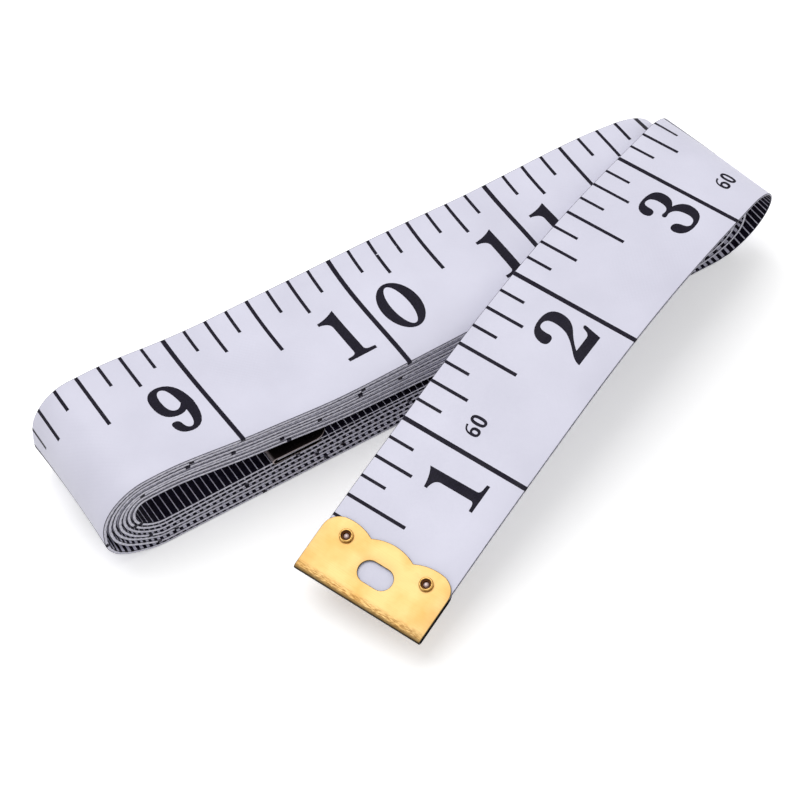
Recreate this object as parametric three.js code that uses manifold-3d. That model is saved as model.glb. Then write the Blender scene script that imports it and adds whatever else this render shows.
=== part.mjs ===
// Cloth tape measure: one printed tape wound flat by hand, with a folded brass clip riveted on each end.
// Millimetres and radians, +Z up. The coil lies along X with its printed side outwards, and its free end
// curls over at the right and lies across it, down to the table. The origin is on the table, under the
// middle of the part's box.

import * as THREE from 'three';
import { mergeVertices } from 'three/addons/utils/BufferGeometryUtils.js';
import Module from 'manifold-3d';

const wasm = await Module();
wasm.setup();

const DEGREE = Math.PI / 180;
const HALF_TURN = Math.PI;

// Tape
const TAPE_LENGTH = 1524; // sixty inches over both clips
const TAPE_WIDTH = 19.2;
const TAPE_THICKNESS = 0.3;
const TAPE_END_INSET = 0.8; // from the outside of a clip's fold to the cut end of the tape
const FOLD_LINE_GAP = 0.3; // between the stretches of tape that bend against each other

// Flat coil, named from its innermost turn because the layers are added outwards from there
const TURNS = 7;
const LAYER_GAP = 0.42;
const INNER_LOWER_RADIUS = 4.6;
const INNER_UPPER_RADIUS = 1.6;
const LOWER_BEND_ANGLE = 78 * DEGREE;
const INNER_RIGHT_RADIUS = 2.25;
const RIGHT_BEND_STEP = 1.1; // each turn inwards ends this much sooner at the right
const TAIL_LENGTH = 62; // from the last bend to the inner end
const TAIL_RISE = 1.3 * DEGREE;

// Curl at the right, where the outer turn comes up and over the coil
const CROSSING_ANGLE = 22 * DEGREE;
const CURL_SLACK = 0.43;
const CURL_REACH = 3;
const CURL_EASE = 6.2 * DEGREE;

// Free end
const FREE_LENGTH = 80.4; // from the zero end to the curl
const LEAF_FLAT_LENGTH = 6;
const LIFT_SETBACK = 5.5; // from the curl to the line where the free end lifts
const CLIP_FLAT_LENGTH = 11;
const BOW_RADIUS = 142; // between the two flat stretches, down towards the table

// Brass clip
const CLIP_SHEET = 0.25;
const CLIP_TAPE_CLEARANCE = 0.12;
const CLIP_OVERHANG = 0.15;
const CLIP_SIDE_LENGTH = 7.3;
const CLIP_VALLEY_LENGTH = 9.3;
const CLIP_LOBES = 3;
const CLIP_LOBE_HEIGHT = 0.8;
const CLIP_SHOULDER = 1.9;
const SLOT_LENGTH = 4.8;
const SLOT_WIDTH = 2.3;
const SLOT_FROM_FOLD = 5.2;

// Rivet, a small eyelet with a dimpled head
const RIVET_FROM_FOLD = 7.6;
const RIVET_EDGE_DISTANCE = 3.5; // from the tape's edge
const RIVET_HEAD_RADIUS = 0.95;
const RIVET_HEAD_HEIGHT = 0.34;
const RIVET_SHANK_RADIUS = 0.5;
const RIVET_DIMPLE_RADIUS = 0.42;
const RIVET_DIMPLE_DEPTH = 0.5;
const RIVET_TAIL_RADIUS = 0.85;
const RIVET_TAIL_HEIGHT = 0.2;
const RIVET_HOLE_CLEARANCE = 0.1;
const RIVET_SEAT_GAP = 0.04;
const CUT_OVERRUN = 1;

// Facets
const LOWER_BEND_STEPS = 10;
const UPPER_BEND_STEPS = 14;
const RIGHT_BEND_STEPS = 24;
const CURL_STEPS = 28;
const LEAF_STEPS = 16;
const ROUND_STEPS = 12;
const RIVET_SIDES = 20;
const SOLVER_ROUNDS = 50;

const HALF_WIDTH = TAPE_WIDTH / 2;
const HALF_THICKNESS = TAPE_THICKNESS / 2;
const PITCH = TAPE_THICKNESS + LAYER_GAP;
const BUILD_UP = (TURNS - 1) * PITCH;
const OUTER_LOWER_RADIUS = INNER_LOWER_RADIUS + BUILD_UP;
const OUTER_UPPER_RADIUS = INNER_UPPER_RADIUS + BUILD_UP;
const OUTER_RIGHT_RADIUS = INNER_RIGHT_RADIUS + BUILD_UP;
const CURL_RADIUS = OUTER_RIGHT_RADIUS + PITCH + CURL_SLACK;
const CLIP_HALF_GAP = HALF_THICKNESS + CLIP_TAPE_CLEARANCE;
const CLIP_HALF_THICKNESS = CLIP_HALF_GAP + CLIP_SHEET;
const CLIP_HALF_WIDTH = HALF_WIDTH + CLIP_OVERHANG;
const RIVET_ASIDE = HALF_WIDTH - RIVET_EDGE_DISTANCE;

const fabric = new THREE.MeshStandardMaterial({ color: 0xdedeee, roughness: 0.6, metalness: 0 });
const brass = new THREE.MeshStandardMaterial({ color: 0xe8c878, roughness: 0.35, metalness: 1 });

// A point that walks along the tape's middle line. It turns towards the plain side, so the printed side
// is always the outside of a bend. A station is the line across the tape where the walker stands.
class Walker {
  constructor(position, heading, printed, left) {
    this.position = position.clone();
    this.heading = heading.clone();
    this.printed = printed.clone();
    this.left = left.clone();
    this.run = 0;
    this.stations = [];
  }

  mark() {
    this.stations.push({
      left: this.position.clone().addScaledVector(this.left, HALF_WIDTH),
      right: this.position.clone().addScaledVector(this.left, -HALF_WIDTH),
      printed: this.printed.clone(),
      run: this.run,
    });
    return this;
  }

  straight(length) {
    this.position.addScaledVector(this.heading, length);
    this.run += length;
    return this;
  }

  bend(radius, angle, steps) {
    const centre = this.position.clone().addScaledVector(this.printed, -radius);
    for (let step = 0; step < steps; step += 1) {
      const turn = angle / steps;
      const heading = this.heading.clone();
      this.heading.multiplyScalar(Math.cos(turn)).addScaledVector(this.printed, -Math.sin(turn));
      this.printed.multiplyScalar(Math.cos(turn)).addScaledVector(heading, Math.sin(turn));
      this.position.copy(centre).addScaledVector(this.printed, radius);
      this.run += radius * turn;
      this.mark();
    }
    return this;
  }
}

// The downward tilt and the length of the straight that touches two round bends from above
function outerTangent(firstCentre, firstRadius, secondCentre, secondRadius) {
  const across = secondCentre.x - firstCentre.x;
  const up = secondCentre.z - firstCentre.z;
  const distance = Math.hypot(across, up);
  const shrink = firstRadius - secondRadius;
  return {
    tilt: Math.asin(shrink / distance) - Math.atan2(up, across),
    length: Math.sqrt(distance ** 2 - shrink ** 2),
  };
}

// Winds the coil inwards from the foot of the curl, for a given distance between its end bends
function windCoil(span) {
  const walker = new Walker(
    new THREE.Vector3(span + CURL_REACH, 0, HALF_THICKNESS),
    new THREE.Vector3(-1, 0, 0),
    new THREE.Vector3(0, 0, -1),
    new THREE.Vector3(0, 1, 0),
  );
  for (let turn = 0; turn < TURNS; turn += 1) {
    const inset = turn * PITCH;
    const lowerRadius = OUTER_LOWER_RADIUS - inset;
    const upperRadius = OUTER_UPPER_RADIUS - inset;
    const rightRadius = OUTER_RIGHT_RADIUS - inset;
    walker.straight(walker.position.x).mark();
    walker.bend(lowerRadius, LOWER_BEND_ANGLE, LOWER_BEND_STEPS);
    const upperCentre = walker.position.clone().addScaledVector(walker.printed, -upperRadius);
    const rightCentre = new THREE.Vector3(
      span - turn * RIGHT_BEND_STEP, 0, HALF_THICKNESS + PITCH + OUTER_RIGHT_RADIUS,
    );
    const { tilt, length } = outerTangent(upperCentre, upperRadius, rightCentre, rightRadius);
    walker.bend(upperRadius, HALF_TURN - LOWER_BEND_ANGLE + tilt, UPPER_BEND_STEPS);
    walker.straight(length).mark();
    const rise = turn === TURNS - 1 ? TAIL_RISE : 0;
    walker.bend(rightRadius, HALF_TURN - tilt + rise, RIGHT_BEND_STEPS);
  }
  walker.straight(TAIL_LENGTH - TAPE_END_INSET).mark();
  return walker;
}

// Finds the value between low and high where a rising measure reaches its target
function solve(low, high, target, measure) {
  let below = low;
  let above = high;
  for (let round = 0; round < SOLVER_ROUNDS; round += 1) {
    const middle = (below + above) / 2;
    if (measure(middle) < target) below = middle;
    else above = middle;
  }
  return (below + above) / 2;
}

// The curl is a cylinder whose axis is turned half the crossing angle, because a tape that rolls over such
// a cylinder comes off it turned by twice that
const skew = CROSSING_ANGLE / 2;
const curlTurn = HALF_TURN - CURL_EASE;
const curlStrip = (CURL_RADIUS * curlTurn + HALF_WIDTH * Math.sin(skew)) / Math.cos(skew);
const runToCoil = FREE_LENGTH + curlStrip;
const coilRun = TAPE_LENGTH - TAPE_END_INSET - runToCoil;
const span = solve(0, TAPE_LENGTH / TURNS, coilRun, (trial) => windCoil(trial).run);
const coilWalker = windCoil(span);
coilWalker.stations.forEach((station) => { station.run += runToCoil; });

const curlFoot = new THREE.Vector3(span + CURL_REACH, 0, HALF_THICKNESS);
const curlAxis = new THREE.Vector3(-Math.sin(skew), Math.cos(skew), 0);
const curlAcross = new THREE.Vector3(Math.cos(skew), Math.sin(skew), 0);
const UP = new THREE.Vector3(0, 0, 1);

// The point of the tape that lies this far along from the curl's foot and this far left of the middle
function curlPoint(along, aside) {
  const rolled = along * Math.cos(skew) + aside * Math.sin(skew);
  const slid = aside * Math.cos(skew) - along * Math.sin(skew);
  const turn = Math.min(rolled / CURL_RADIUS, curlTurn);
  const beyond = rolled - turn * CURL_RADIUS;
  return curlFoot.clone()
    .addScaledVector(curlAxis, slid)
    .addScaledVector(curlAcross, CURL_RADIUS * Math.sin(turn) + beyond * Math.cos(turn))
    .addScaledVector(UP, CURL_RADIUS * (1 - Math.cos(turn)) + beyond * Math.sin(turn));
}

function curlStations() {
  const stations = [];
  for (let step = 0; step <= CURL_STEPS; step += 1) {
    const turn = (curlTurn * step) / CURL_STEPS;
    const alongAt = (aside) => (turn * CURL_RADIUS - aside * Math.sin(skew)) / Math.cos(skew);
    stations.push({
      left: curlPoint(alongAt(HALF_WIDTH), HALF_WIDTH),
      right: curlPoint(alongAt(-HALF_WIDTH), -HALF_WIDTH),
      printed: curlAcross.clone().multiplyScalar(Math.sin(turn)).addScaledVector(UP, -Math.cos(turn)),
      run: runToCoil - alongAt(0),
    });
  }
  return stations;
}

// The free end, from the curl down to the clip: flat, then bowed down, then flat in the clip
function leafAt(length) {
  const slope = curlAcross.clone().multiplyScalar(Math.cos(curlTurn));
  slope.addScaledVector(UP, Math.sin(curlTurn));
  const heading = slope.clone().multiplyScalar(Math.cos(skew)).addScaledVector(curlAxis, -Math.sin(skew));
  const left = slope.clone().multiplyScalar(Math.sin(skew)).addScaledVector(curlAxis, Math.cos(skew));
  const printed = new THREE.Vector3().crossVectors(left, heading);
  const walker = new Walker(curlPoint(curlStrip, 0), heading, printed, left);
  const flat = Math.min(length, LEAF_FLAT_LENGTH);
  const bowed = Math.min(length, FREE_LENGTH - CLIP_FLAT_LENGTH) - flat;
  walker.straight(flat);
  if (bowed > 0) walker.bend(BOW_RADIUS, bowed / BOW_RADIUS, 1);
  walker.straight(length - walker.run);
  return walker;
}

// Where the left edge of the free end passes the coil's near edge
const crossing = solve(LEAF_FLAT_LENGTH, FREE_LENGTH, HALF_WIDTH, (length) => {
  const { position, left } = leafAt(length);
  return -(position.y + left.y * HALF_WIDTH);
});

function leafStations(from, to) {
  const stations = [];
  for (let step = 0; step <= LEAF_STEPS; step += 1) {
    const length = from + ((to - from) * step) / LEAF_STEPS;
    const walker = leafAt(length);
    walker.stations.length = 0;
    walker.mark();
    walker.stations[0].run = FREE_LENGTH - length;
    stations.push(walker.stations[0]);
  }
  return stations;
}

// A closed strip of tape through the stations
function tapeSolid(stations) {
  const positions = [];
  stations.forEach(({ left, right, printed }) => {
    [[left, 1], [right, 1], [right, -1], [left, -1]].forEach(([edge, side]) => {
      positions.push(...edge.clone().addScaledVector(printed, side * HALF_THICKNESS).toArray());
    });
  });
  const index = [];
  const last = stations.length - 1;
  for (let ring = 0; ring < last; ring += 1) {
    for (let corner = 0; corner < 4; corner += 1) {
      const here = ring * 4 + corner;
      const beside = ring * 4 + ((corner + 1) % 4);
      index.push(here, beside, beside + 4, here, beside + 4, here + 4);
    }
  }
  index.push(0, 2, 1, 0, 3, 2);
  index.push(last * 4, last * 4 + 1, last * 4 + 2, last * 4, last * 4 + 2, last * 4 + 3);
  if (signedVolume(positions, index) < 0) index.reverse();
  const geometry = new THREE.BufferGeometry();
  geometry.setAttribute('position', new THREE.Float32BufferAttribute(positions, 3));
  geometry.setIndex(index);
  return geometry;
}

function signedVolume(positions, index) {
  const corner = (number) => new THREE.Vector3().fromArray(positions, index[number] * 3);
  let volume = 0;
  for (let number = 0; number < index.length; number += 3) {
    volume += corner(number).dot(corner(number + 1).cross(corner(number + 2)));
  }
  return volume;
}

function toManifold(geometry) {
  const bare = geometry.clone();
  bare.deleteAttribute('normal');
  bare.deleteAttribute('uv');
  const merged = mergeVertices(bare);
  return new wasm.Manifold(new wasm.Mesh({
    numProp: 3,
    vertProperties: new Float32Array(merged.getAttribute('position').array),
    triVerts: new Uint32Array(merged.getIndex().array),
  }));
}

function fromManifold(solid) {
  const mesh = solid.getMesh();
  const geometry = new THREE.BufferGeometry();
  geometry.setAttribute('position', new THREE.Float32BufferAttribute(mesh.vertProperties, 3));
  geometry.setIndex(new THREE.Uint32BufferAttribute(mesh.triVerts, 1));
  return geometry;
}

// Clip frame: x runs from the outside of the fold into the tape, y across it and z out of its printed side
function clipOutline() {
  const lobeTop = CLIP_VALLEY_LENGTH + CLIP_LOBE_HEIGHT;
  const valleyAside = CLIP_HALF_WIDTH / CLIP_LOBES;
  const lobeRadius = (valleyAside ** 2 + CLIP_LOBE_HEIGHT ** 2) / (2 * CLIP_LOBE_HEIGHT);
  const lobeHalfAngle = Math.asin(valleyAside / lobeRadius);
  const outerLobeAside = 2 * valleyAside;
  const shoulderAside = CLIP_HALF_WIDTH - CLIP_SHOULDER;
  const shoulderAngle = Math.asin((shoulderAside - outerLobeAside) / lobeRadius);
  const centre = lobeTop - lobeRadius;
  const outline = new THREE.Shape();
  outline.moveTo(0, -CLIP_HALF_WIDTH);
  outline.lineTo(CLIP_SIDE_LENGTH, -CLIP_HALF_WIDTH);
  outline.quadraticCurveTo(
    CLIP_VALLEY_LENGTH, -CLIP_HALF_WIDTH,
    centre + lobeRadius * Math.cos(shoulderAngle), -shoulderAside,
  );
  outline.absarc(centre, -outerLobeAside, lobeRadius, -shoulderAngle, lobeHalfAngle, false);
  outline.absarc(centre, 0, lobeRadius, -lobeHalfAngle, lobeHalfAngle, false);
  outline.absarc(centre, outerLobeAside, lobeRadius, -lobeHalfAngle, shoulderAngle, false);
  outline.quadraticCurveTo(CLIP_VALLEY_LENGTH, CLIP_HALF_WIDTH, CLIP_SIDE_LENGTH, CLIP_HALF_WIDTH);
  outline.lineTo(0, CLIP_HALF_WIDTH);
  outline.closePath();
  const slot = new THREE.Path();
  const slotRadius = SLOT_WIDTH / 2;
  const slotReach = SLOT_LENGTH / 2 - slotRadius;
  slot.absarc(SLOT_FROM_FOLD, slotReach, slotRadius, 0, HALF_TURN, false);
  slot.absarc(SLOT_FROM_FOLD, -slotReach, slotRadius, HALF_TURN, 2 * HALF_TURN, false);
  outline.holes.push(slot);
  [-1, 1].forEach((side) => {
    const hole = new THREE.Path();
    const holeRadius = RIVET_SHANK_RADIUS + RIVET_HOLE_CLEARANCE;
    hole.absarc(RIVET_FROM_FOLD, side * RIVET_ASIDE, holeRadius, 0, 2 * HALF_TURN, false);
    outline.holes.push(hole);
  });
  return outline;
}

// The brass sheet seen along its fold
function foldProfile() {
  const reach = CLIP_VALLEY_LENGTH + CLIP_LOBE_HEIGHT + CUT_OVERRUN;
  const profile = new THREE.Shape();
  profile.moveTo(reach, -CLIP_HALF_THICKNESS);
  profile.lineTo(reach, -CLIP_HALF_GAP);
  profile.lineTo(CLIP_HALF_THICKNESS, -CLIP_HALF_GAP);
  profile.absarc(CLIP_HALF_THICKNESS, 0, CLIP_HALF_GAP, -HALF_TURN / 2, HALF_TURN / 2, true);
  profile.lineTo(reach, CLIP_HALF_GAP);
  profile.lineTo(reach, CLIP_HALF_THICKNESS);
  profile.lineTo(CLIP_HALF_THICKNESS, CLIP_HALF_THICKNESS);
  profile.absarc(CLIP_HALF_THICKNESS, 0, CLIP_HALF_THICKNESS, HALF_TURN / 2, -HALF_TURN / 2, false);
  profile.closePath();
  return profile;
}

// Stamped outline and folded sheet meet in one piece of brass
function clipGeometry() {
  const halfDepth = CLIP_HALF_THICKNESS + CUT_OVERRUN;
  const stamped = new THREE.ExtrudeGeometry(clipOutline(), {
    depth: 2 * halfDepth, bevelEnabled: false, curveSegments: ROUND_STEPS,
  });
  stamped.translate(0, 0, -halfDepth);
  const halfFold = CLIP_HALF_WIDTH + CUT_OVERRUN;
  const folded = new THREE.ExtrudeGeometry(foldProfile(), {
    depth: 2 * halfFold, bevelEnabled: false, curveSegments: ROUND_STEPS,
  });
  folded.rotateX(HALF_TURN / 2);
  folded.translate(0, halfFold, 0);
  return fromManifold(toManifold(stamped).intersect(toManifold(folded)));
}

function rivetGeometry() {
  const seat = CLIP_HALF_THICKNESS + RIVET_SEAT_GAP;
  const top = seat + RIVET_HEAD_HEIGHT;
  const crownRadius = (RIVET_HEAD_RADIUS - RIVET_DIMPLE_RADIUS) / 2;
  const crownMiddle = RIVET_DIMPLE_RADIUS + crownRadius;
  const profile = [new THREE.Vector2(0, top - RIVET_DIMPLE_DEPTH)];
  profile.push(new THREE.Vector2(RIVET_DIMPLE_RADIUS / 2, top - RIVET_DIMPLE_DEPTH));
  for (let step = 0; step <= ROUND_STEPS; step += 1) {
    const angle = HALF_TURN * (1 - step / ROUND_STEPS);
    profile.push(new THREE.Vector2(
      crownMiddle + crownRadius * Math.cos(angle), top - crownRadius + crownRadius * Math.sin(angle),
    ));
  }
  profile.push(new THREE.Vector2(RIVET_HEAD_RADIUS, seat));
  profile.push(new THREE.Vector2(RIVET_SHANK_RADIUS, seat));
  profile.push(new THREE.Vector2(RIVET_SHANK_RADIUS, -seat));
  profile.push(new THREE.Vector2(RIVET_TAIL_RADIUS, -seat));
  profile.push(new THREE.Vector2(RIVET_TAIL_RADIUS - RIVET_TAIL_HEIGHT / 2, -seat - RIVET_TAIL_HEIGHT));
  profile.push(new THREE.Vector2(0, -seat - RIVET_TAIL_HEIGHT));
  profile.reverse();
  return new THREE.LatheGeometry(profile, RIVET_SIDES).rotateX(HALF_TURN / 2);
}

function rivetHoles(frame) {
  const radius = RIVET_SHANK_RADIUS + RIVET_HOLE_CLEARANCE;
  return [-1, 1].map((side) => {
    const hole = new THREE.CylinderGeometry(radius, radius, 2 * CUT_OVERRUN, RIVET_SIDES);
    hole.rotateX(HALF_TURN / 2);
    hole.translate(RIVET_FROM_FOLD, side * RIVET_ASIDE, 0);
    return toManifold(hole.applyMatrix4(frame));
  });
}

function tapeWithHoles(stations, frame) {
  const whole = toManifold(tapeSolid(stations));
  return fromManifold(rivetHoles(frame).reduce((tape, hole) => tape.subtract(hole), whole));
}

// The frame of a clip, from a walker that has come to the outside of the fold
function clipFrame(walker, leftSign) {
  const frame = new THREE.Matrix4().makeBasis(
    walker.heading.clone().negate(),
    walker.left.clone().multiplyScalar(leftSign),
    walker.printed,
  );
  return frame.setPosition(walker.position);
}

function clipGroup(name, frame) {
  const group = new THREE.Group();
  group.applyMatrix4(frame);
  const clip = new THREE.Mesh(clipGeometry(), brass);
  clip.name = `${name}_clip`;
  group.add(clip);
  ['left', 'right'].forEach((label, number) => {
    const rivet = new THREE.Mesh(rivetGeometry(), brass);
    rivet.name = `${name}_rivet_${label}`;
    rivet.position.set(RIVET_FROM_FOLD, (1 - 2 * number) * RIVET_ASIDE, 0);
    group.add(rivet);
  });
  return group;
}

function tapeMesh(name, geometry) {
  const mesh = new THREE.Mesh(geometry, fabric);
  mesh.name = name;
  return mesh;
}

// The least distance between two layers of the tape, from the lines across it to the coil's own layers
function leastGap(stations, layers) {
  const samples = [0, 0.25, 0.5, 0.75, 1];
  const skip = 2 * OUTER_UPPER_RADIUS;
  let least = Infinity;
  stations.forEach((station) => {
    samples.forEach((share) => {
      const point = station.left.clone().lerp(station.right, share);
      const overhang = Math.max(0, Math.abs(point.y) - HALF_WIDTH);
      for (let number = 1; number < layers.length; number += 1) {
        const from = layers[number - 1];
        const to = layers[number];
        const apart = Math.min(Math.abs(from.run - station.run), Math.abs(to.run - station.run));
        const inside = (from.run - station.run) * (to.run - station.run) < 0;
        if (!inside && apart > skip) {
          const line = new THREE.Line3(
            new THREE.Vector3(from.left.x, 0, from.left.z), new THREE.Vector3(to.left.x, 0, to.left.z),
          );
          const flat = new THREE.Vector3(point.x, 0, point.z);
          const away = line.closestPointToPoint(flat, true, new THREE.Vector3()).distanceTo(flat);
          least = Math.min(least, Math.hypot(away, overhang));
        }
      }
    });
  });
  return least - TAPE_THICKNESS;
}

const object = new THREE.Group();

const halfFoldGap = FOLD_LINE_GAP / 2;
const rootStations = leafStations(0, LIFT_SETBACK - halfFoldGap).reverse();
const coilStations = [...rootStations, ...curlStations().reverse(), ...coilWalker.stations];
const leafLine = leafStations(LIFT_SETBACK + halfFoldGap, crossing - halfFoldGap);
const tipLine = leafStations(crossing + halfFoldGap, FREE_LENGTH - TAPE_END_INSET);

const backFrame = clipFrame(coilWalker.straight(TAPE_END_INSET), -1);
const frontFrame = clipFrame(leafAt(FREE_LENGTH), 1);
object.add(tapeMesh('tape_coil', tapeWithHoles(coilStations, backFrame)));
object.add(tapeMesh('tape_free_end', tapeSolid(leafLine)));
object.add(tapeMesh('tape_tip', tapeWithHoles(tipLine, frontFrame)));
object.add(clipGroup('back', backFrame));
object.add(clipGroup('front', frontFrame));

// Stand the part over its origin
const box = new THREE.Box3().setFromObject(object);
const shift = new THREE.Vector3(-(box.min.x + box.max.x) / 2, -(box.min.y + box.max.y) / 2, 0);
object.position.copy(shift);
object.updateMatrixWorld(true);

const report = (label, values) => console.log(label, values.map((value) => value.toFixed(3)).join(' '));
const gaps = [
  leastGap(coilWalker.stations, coilWalker.stations),
  leastGap(curlStations(), coilWalker.stations),
  leastGap([...rootStations, ...leafLine, ...tipLine], coilWalker.stations),
];
report('least gap of the tape to itself in the coil, the curl and the free end, mm', gaps);
report('least gap of the tape to itself, mm', [Math.min(...gaps)]);
report('distance between the coil bends, curl radius, mm', [span, CURL_RADIUS]);
report('shift of the coil frame, mm', shift.toArray());
const liftLine = leafAt(LIFT_SETBACK);
const tipBend = leafAt(crossing);
report('lift line point, mm', liftLine.position.clone().add(shift).toArray());
report('lift line direction', liftLine.left.toArray());
report('tip line point, mm', tipBend.position.clone().add(shift).toArray());
report('tip line direction', tipBend.left.toArray());
report('tip length, mm', [FREE_LENGTH - crossing]);
const frontClip = new THREE.Box3().setFromObject(object.getObjectByName('front_clip'), true);
report('height of the front clip over the table, mm', [frontClip.min.z]);
report('box, mm', [...box.min.clone().add(shift).toArray(), ...box.max.clone().add(shift).toArray()]);

export default object;
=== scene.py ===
"""Looks of a cloth tape measure: coated cloth, black print, brass clips and dimpled rivets.

Everything is in metres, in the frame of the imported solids. The tape follows the path of its solids to
within a tenth of a millimetre: a flat coil of seven turns, a curl at the right, and a free end that bows
down over the coil. The coil then settles and the free end sags, as cloth does.
A place on the tape is given by its run, the distance from the zero end, and by how far left of the
tape's middle it lies, seen with the numbers upright and the zero end at the left.
"""

import math

import bmesh
import bpy
import numpy as np
from mathutils import Matrix, Vector
from mathutils.geometry import delaunay_2d_cdt


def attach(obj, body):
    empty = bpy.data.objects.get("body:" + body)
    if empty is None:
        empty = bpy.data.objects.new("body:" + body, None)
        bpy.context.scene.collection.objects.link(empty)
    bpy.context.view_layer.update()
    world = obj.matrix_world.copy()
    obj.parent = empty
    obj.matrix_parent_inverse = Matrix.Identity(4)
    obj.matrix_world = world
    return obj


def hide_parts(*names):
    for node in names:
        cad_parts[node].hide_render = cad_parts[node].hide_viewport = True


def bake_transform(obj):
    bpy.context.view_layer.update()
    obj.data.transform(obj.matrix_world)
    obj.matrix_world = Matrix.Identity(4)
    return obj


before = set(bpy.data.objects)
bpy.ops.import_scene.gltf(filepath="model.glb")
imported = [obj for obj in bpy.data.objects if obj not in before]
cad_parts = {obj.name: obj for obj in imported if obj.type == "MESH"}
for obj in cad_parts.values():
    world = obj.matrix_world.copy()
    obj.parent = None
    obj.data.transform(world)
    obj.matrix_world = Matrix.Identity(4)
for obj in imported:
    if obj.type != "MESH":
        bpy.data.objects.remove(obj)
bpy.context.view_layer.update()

MM = 0.001
INCH = 25.4 * MM
HALF_TURN = math.pi
QUARTER_TURN = math.pi / 2

# Tape, coil, curl and free end, as in the solids, but for a tail that is 1.3 mm shorter
TAPE_LENGTH = 1524 * MM
TAPE_WIDTH = 19.2 * MM
SOLID_THICKNESS = 0.3 * MM
END_INSET = 0.8 * MM
TURNS = 7
LAYER_GAP = 0.42 * MM
INNER_LOWER_RADIUS = 4.6 * MM
INNER_UPPER_RADIUS = 1.6 * MM
LOWER_BEND_ANGLE = math.radians(78)
INNER_RIGHT_RADIUS = 2.25 * MM
RIGHT_BEND_STEP = 1.1 * MM
TAIL_LENGTH = 60.7 * MM
TAIL_RISE = math.radians(1.3)
CROSSING_ANGLE = math.radians(22)
CURL_SLACK = 0.43 * MM
CURL_REACH = 3 * MM
CURL_EASE = math.radians(6.2)
FREE_LENGTH = 80.4 * MM
LEAF_FLAT_LENGTH = 6 * MM
CLIP_FLAT_LENGTH = 11 * MM
BOW_RADIUS = 142 * MM
SOLVER_ROUNDS = 50

HALF_WIDTH = TAPE_WIDTH / 2
HALF_SOLID = SOLID_THICKNESS / 2
PITCH = SOLID_THICKNESS + LAYER_GAP
BUILD_UP = (TURNS - 1) * PITCH
OUTER_LOWER_RADIUS = INNER_LOWER_RADIUS + BUILD_UP
OUTER_UPPER_RADIUS = INNER_UPPER_RADIUS + BUILD_UP
OUTER_RIGHT_RADIUS = INNER_RIGHT_RADIUS + BUILD_UP
CURL_RADIUS = OUTER_RIGHT_RADIUS + PITCH + CURL_SLACK
SKEW = CROSSING_ANGLE / 2
CURL_TURN = HALF_TURN - CURL_EASE
CURL_STRIP = (CURL_RADIUS * CURL_TURN + HALF_WIDTH * math.sin(SKEW)) / math.cos(SKEW)
RUN_TO_COIL = FREE_LENGTH + CURL_STRIP

# Cloth of the tape, thicker in the coil, where its turns press together
FREE_THICKNESS = 0.31 * MM
COIL_THICKNESS = 0.53 * MM
EDGE_ROUND = 0.08 * MM
THICKENING_LENGTH = 20 * MM
THINNING_LENGTH = 40 * MM
FLAT_GIRTH = TAPE_WIDTH - 2 * EDGE_ROUND
CORNER_GIRTH = EDGE_ROUND * QUARTER_TURN

# How the coil's layers stray: sideways in the lower and the upper half with each turn, and in waves,
# each with its pace and its start
LOWER_FAN = 0.15 * MM
UPPER_FAN = -0.03 * MM
WANDER = 0.035 * MM
WANDER_LENGTH = 23 * MM
WANDER_WAVES = ((1, 0), (1.7, 1), (0.43, 0))
SIDE_WANDER = 2
SIDE_WANDER_START = 7 * WANDER_LENGTH

# How the upper half of the coil settles: places along the coil, and the heights there at its far edge,
# a quarter and half of the way across and at its near edge, in millimetres
SETTLE_PLACES = (-10, -8, -6, -3, 1, 4, 8, 12, 16, 20, 25, 30, 36, 42, 50, 58, 66, 73, 79, 84)
SETTLE_HEIGHTS = (
    (0, 0.4, 0.85, 0.8, 1.05, 0.9, 0.35, 0, -0.15, -0.1,
     0, 0.05, 0.2, 0.3, 0.25, 0, 0.3, 0.6, 0.6, 0),
    (0, 0.4, 0.85, 0.95, 1.15, 0.95, 0.4, -0.15, -0.5, -0.7,
     -0.8, -0.75, -0.7, -0.65, -0.35, 0, 0, 0.4, 0.6, 0.1),
    (0, 0.4, 0.8, 1, 1.05, 0.85, 0.4, -0.1, -0.5, -0.9,
     -1.15, -1.15, -1, -0.85, -0.4, 0, 0.2, 0.4, 0.4, 0.1),
    (0, 0.2, 0.45, 0.85, 1, 0.6, -0.1, -0.7, -1.05, -1.55,
     -2, -2, -1.8, -1.65, -1.45, -1.15, -0.8, -0.5, -0.2, 0),
)
ACROSS_SHARES = (0, 0.25, 0.5, 1)
SETTLE_FROM = 7 * MM
SETTLE_TO = 10 * MM

# The further settling of the near edge, which grows towards the inner turns
INNER_PLACES = (20, 29, 36, 43, 52, 66, 84)
INNER_HEIGHTS = (0, -0.2, -0.55, -0.9, -0.9, -0.5, 0)

# How far the upper half leans towards the right, and its near edge still more, in millimetres
LEAN_PLACES = (-8, 8, 20, 38, 60, 84)
LEAN_ALL = (0.05, 0.2, 0.2, 0.25, 0, -0.25)
LEAN_NEAR = (0, 1, 0.95, 0.85, 0.3, 0)

# How the left bend's outer turns swell, less with each turn, and how its inner turns press inwards, by
# the angle round the bend in degrees, and how far the right bends reach out, in millimetres
SWELL_ANGLES = (25, 50, 60, 66, 72, 80, 90)
SWELL_HEIGHTS = (0, 1.05, 1, 0.85, 0.5, 0.1, 0)
SWELL_ACROSS = (1, 0.63, 0.45, 0.7)
SWELL_LEFT_PER_TURN = 0.5
PRESS_ANGLES = (5, 20, 35, 55, 75, 92)
PRESS_DEPTHS = (0, 0.5, 0.75, 0.65, 0.25, 0)
PRESS_FROM_TURN = 0.5
REACH_FAR = 0.9
REACH_NEAR = 2.9
REACH_PER_TURN = 0.2
TAIL_DROP = 0.75 * MM

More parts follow.
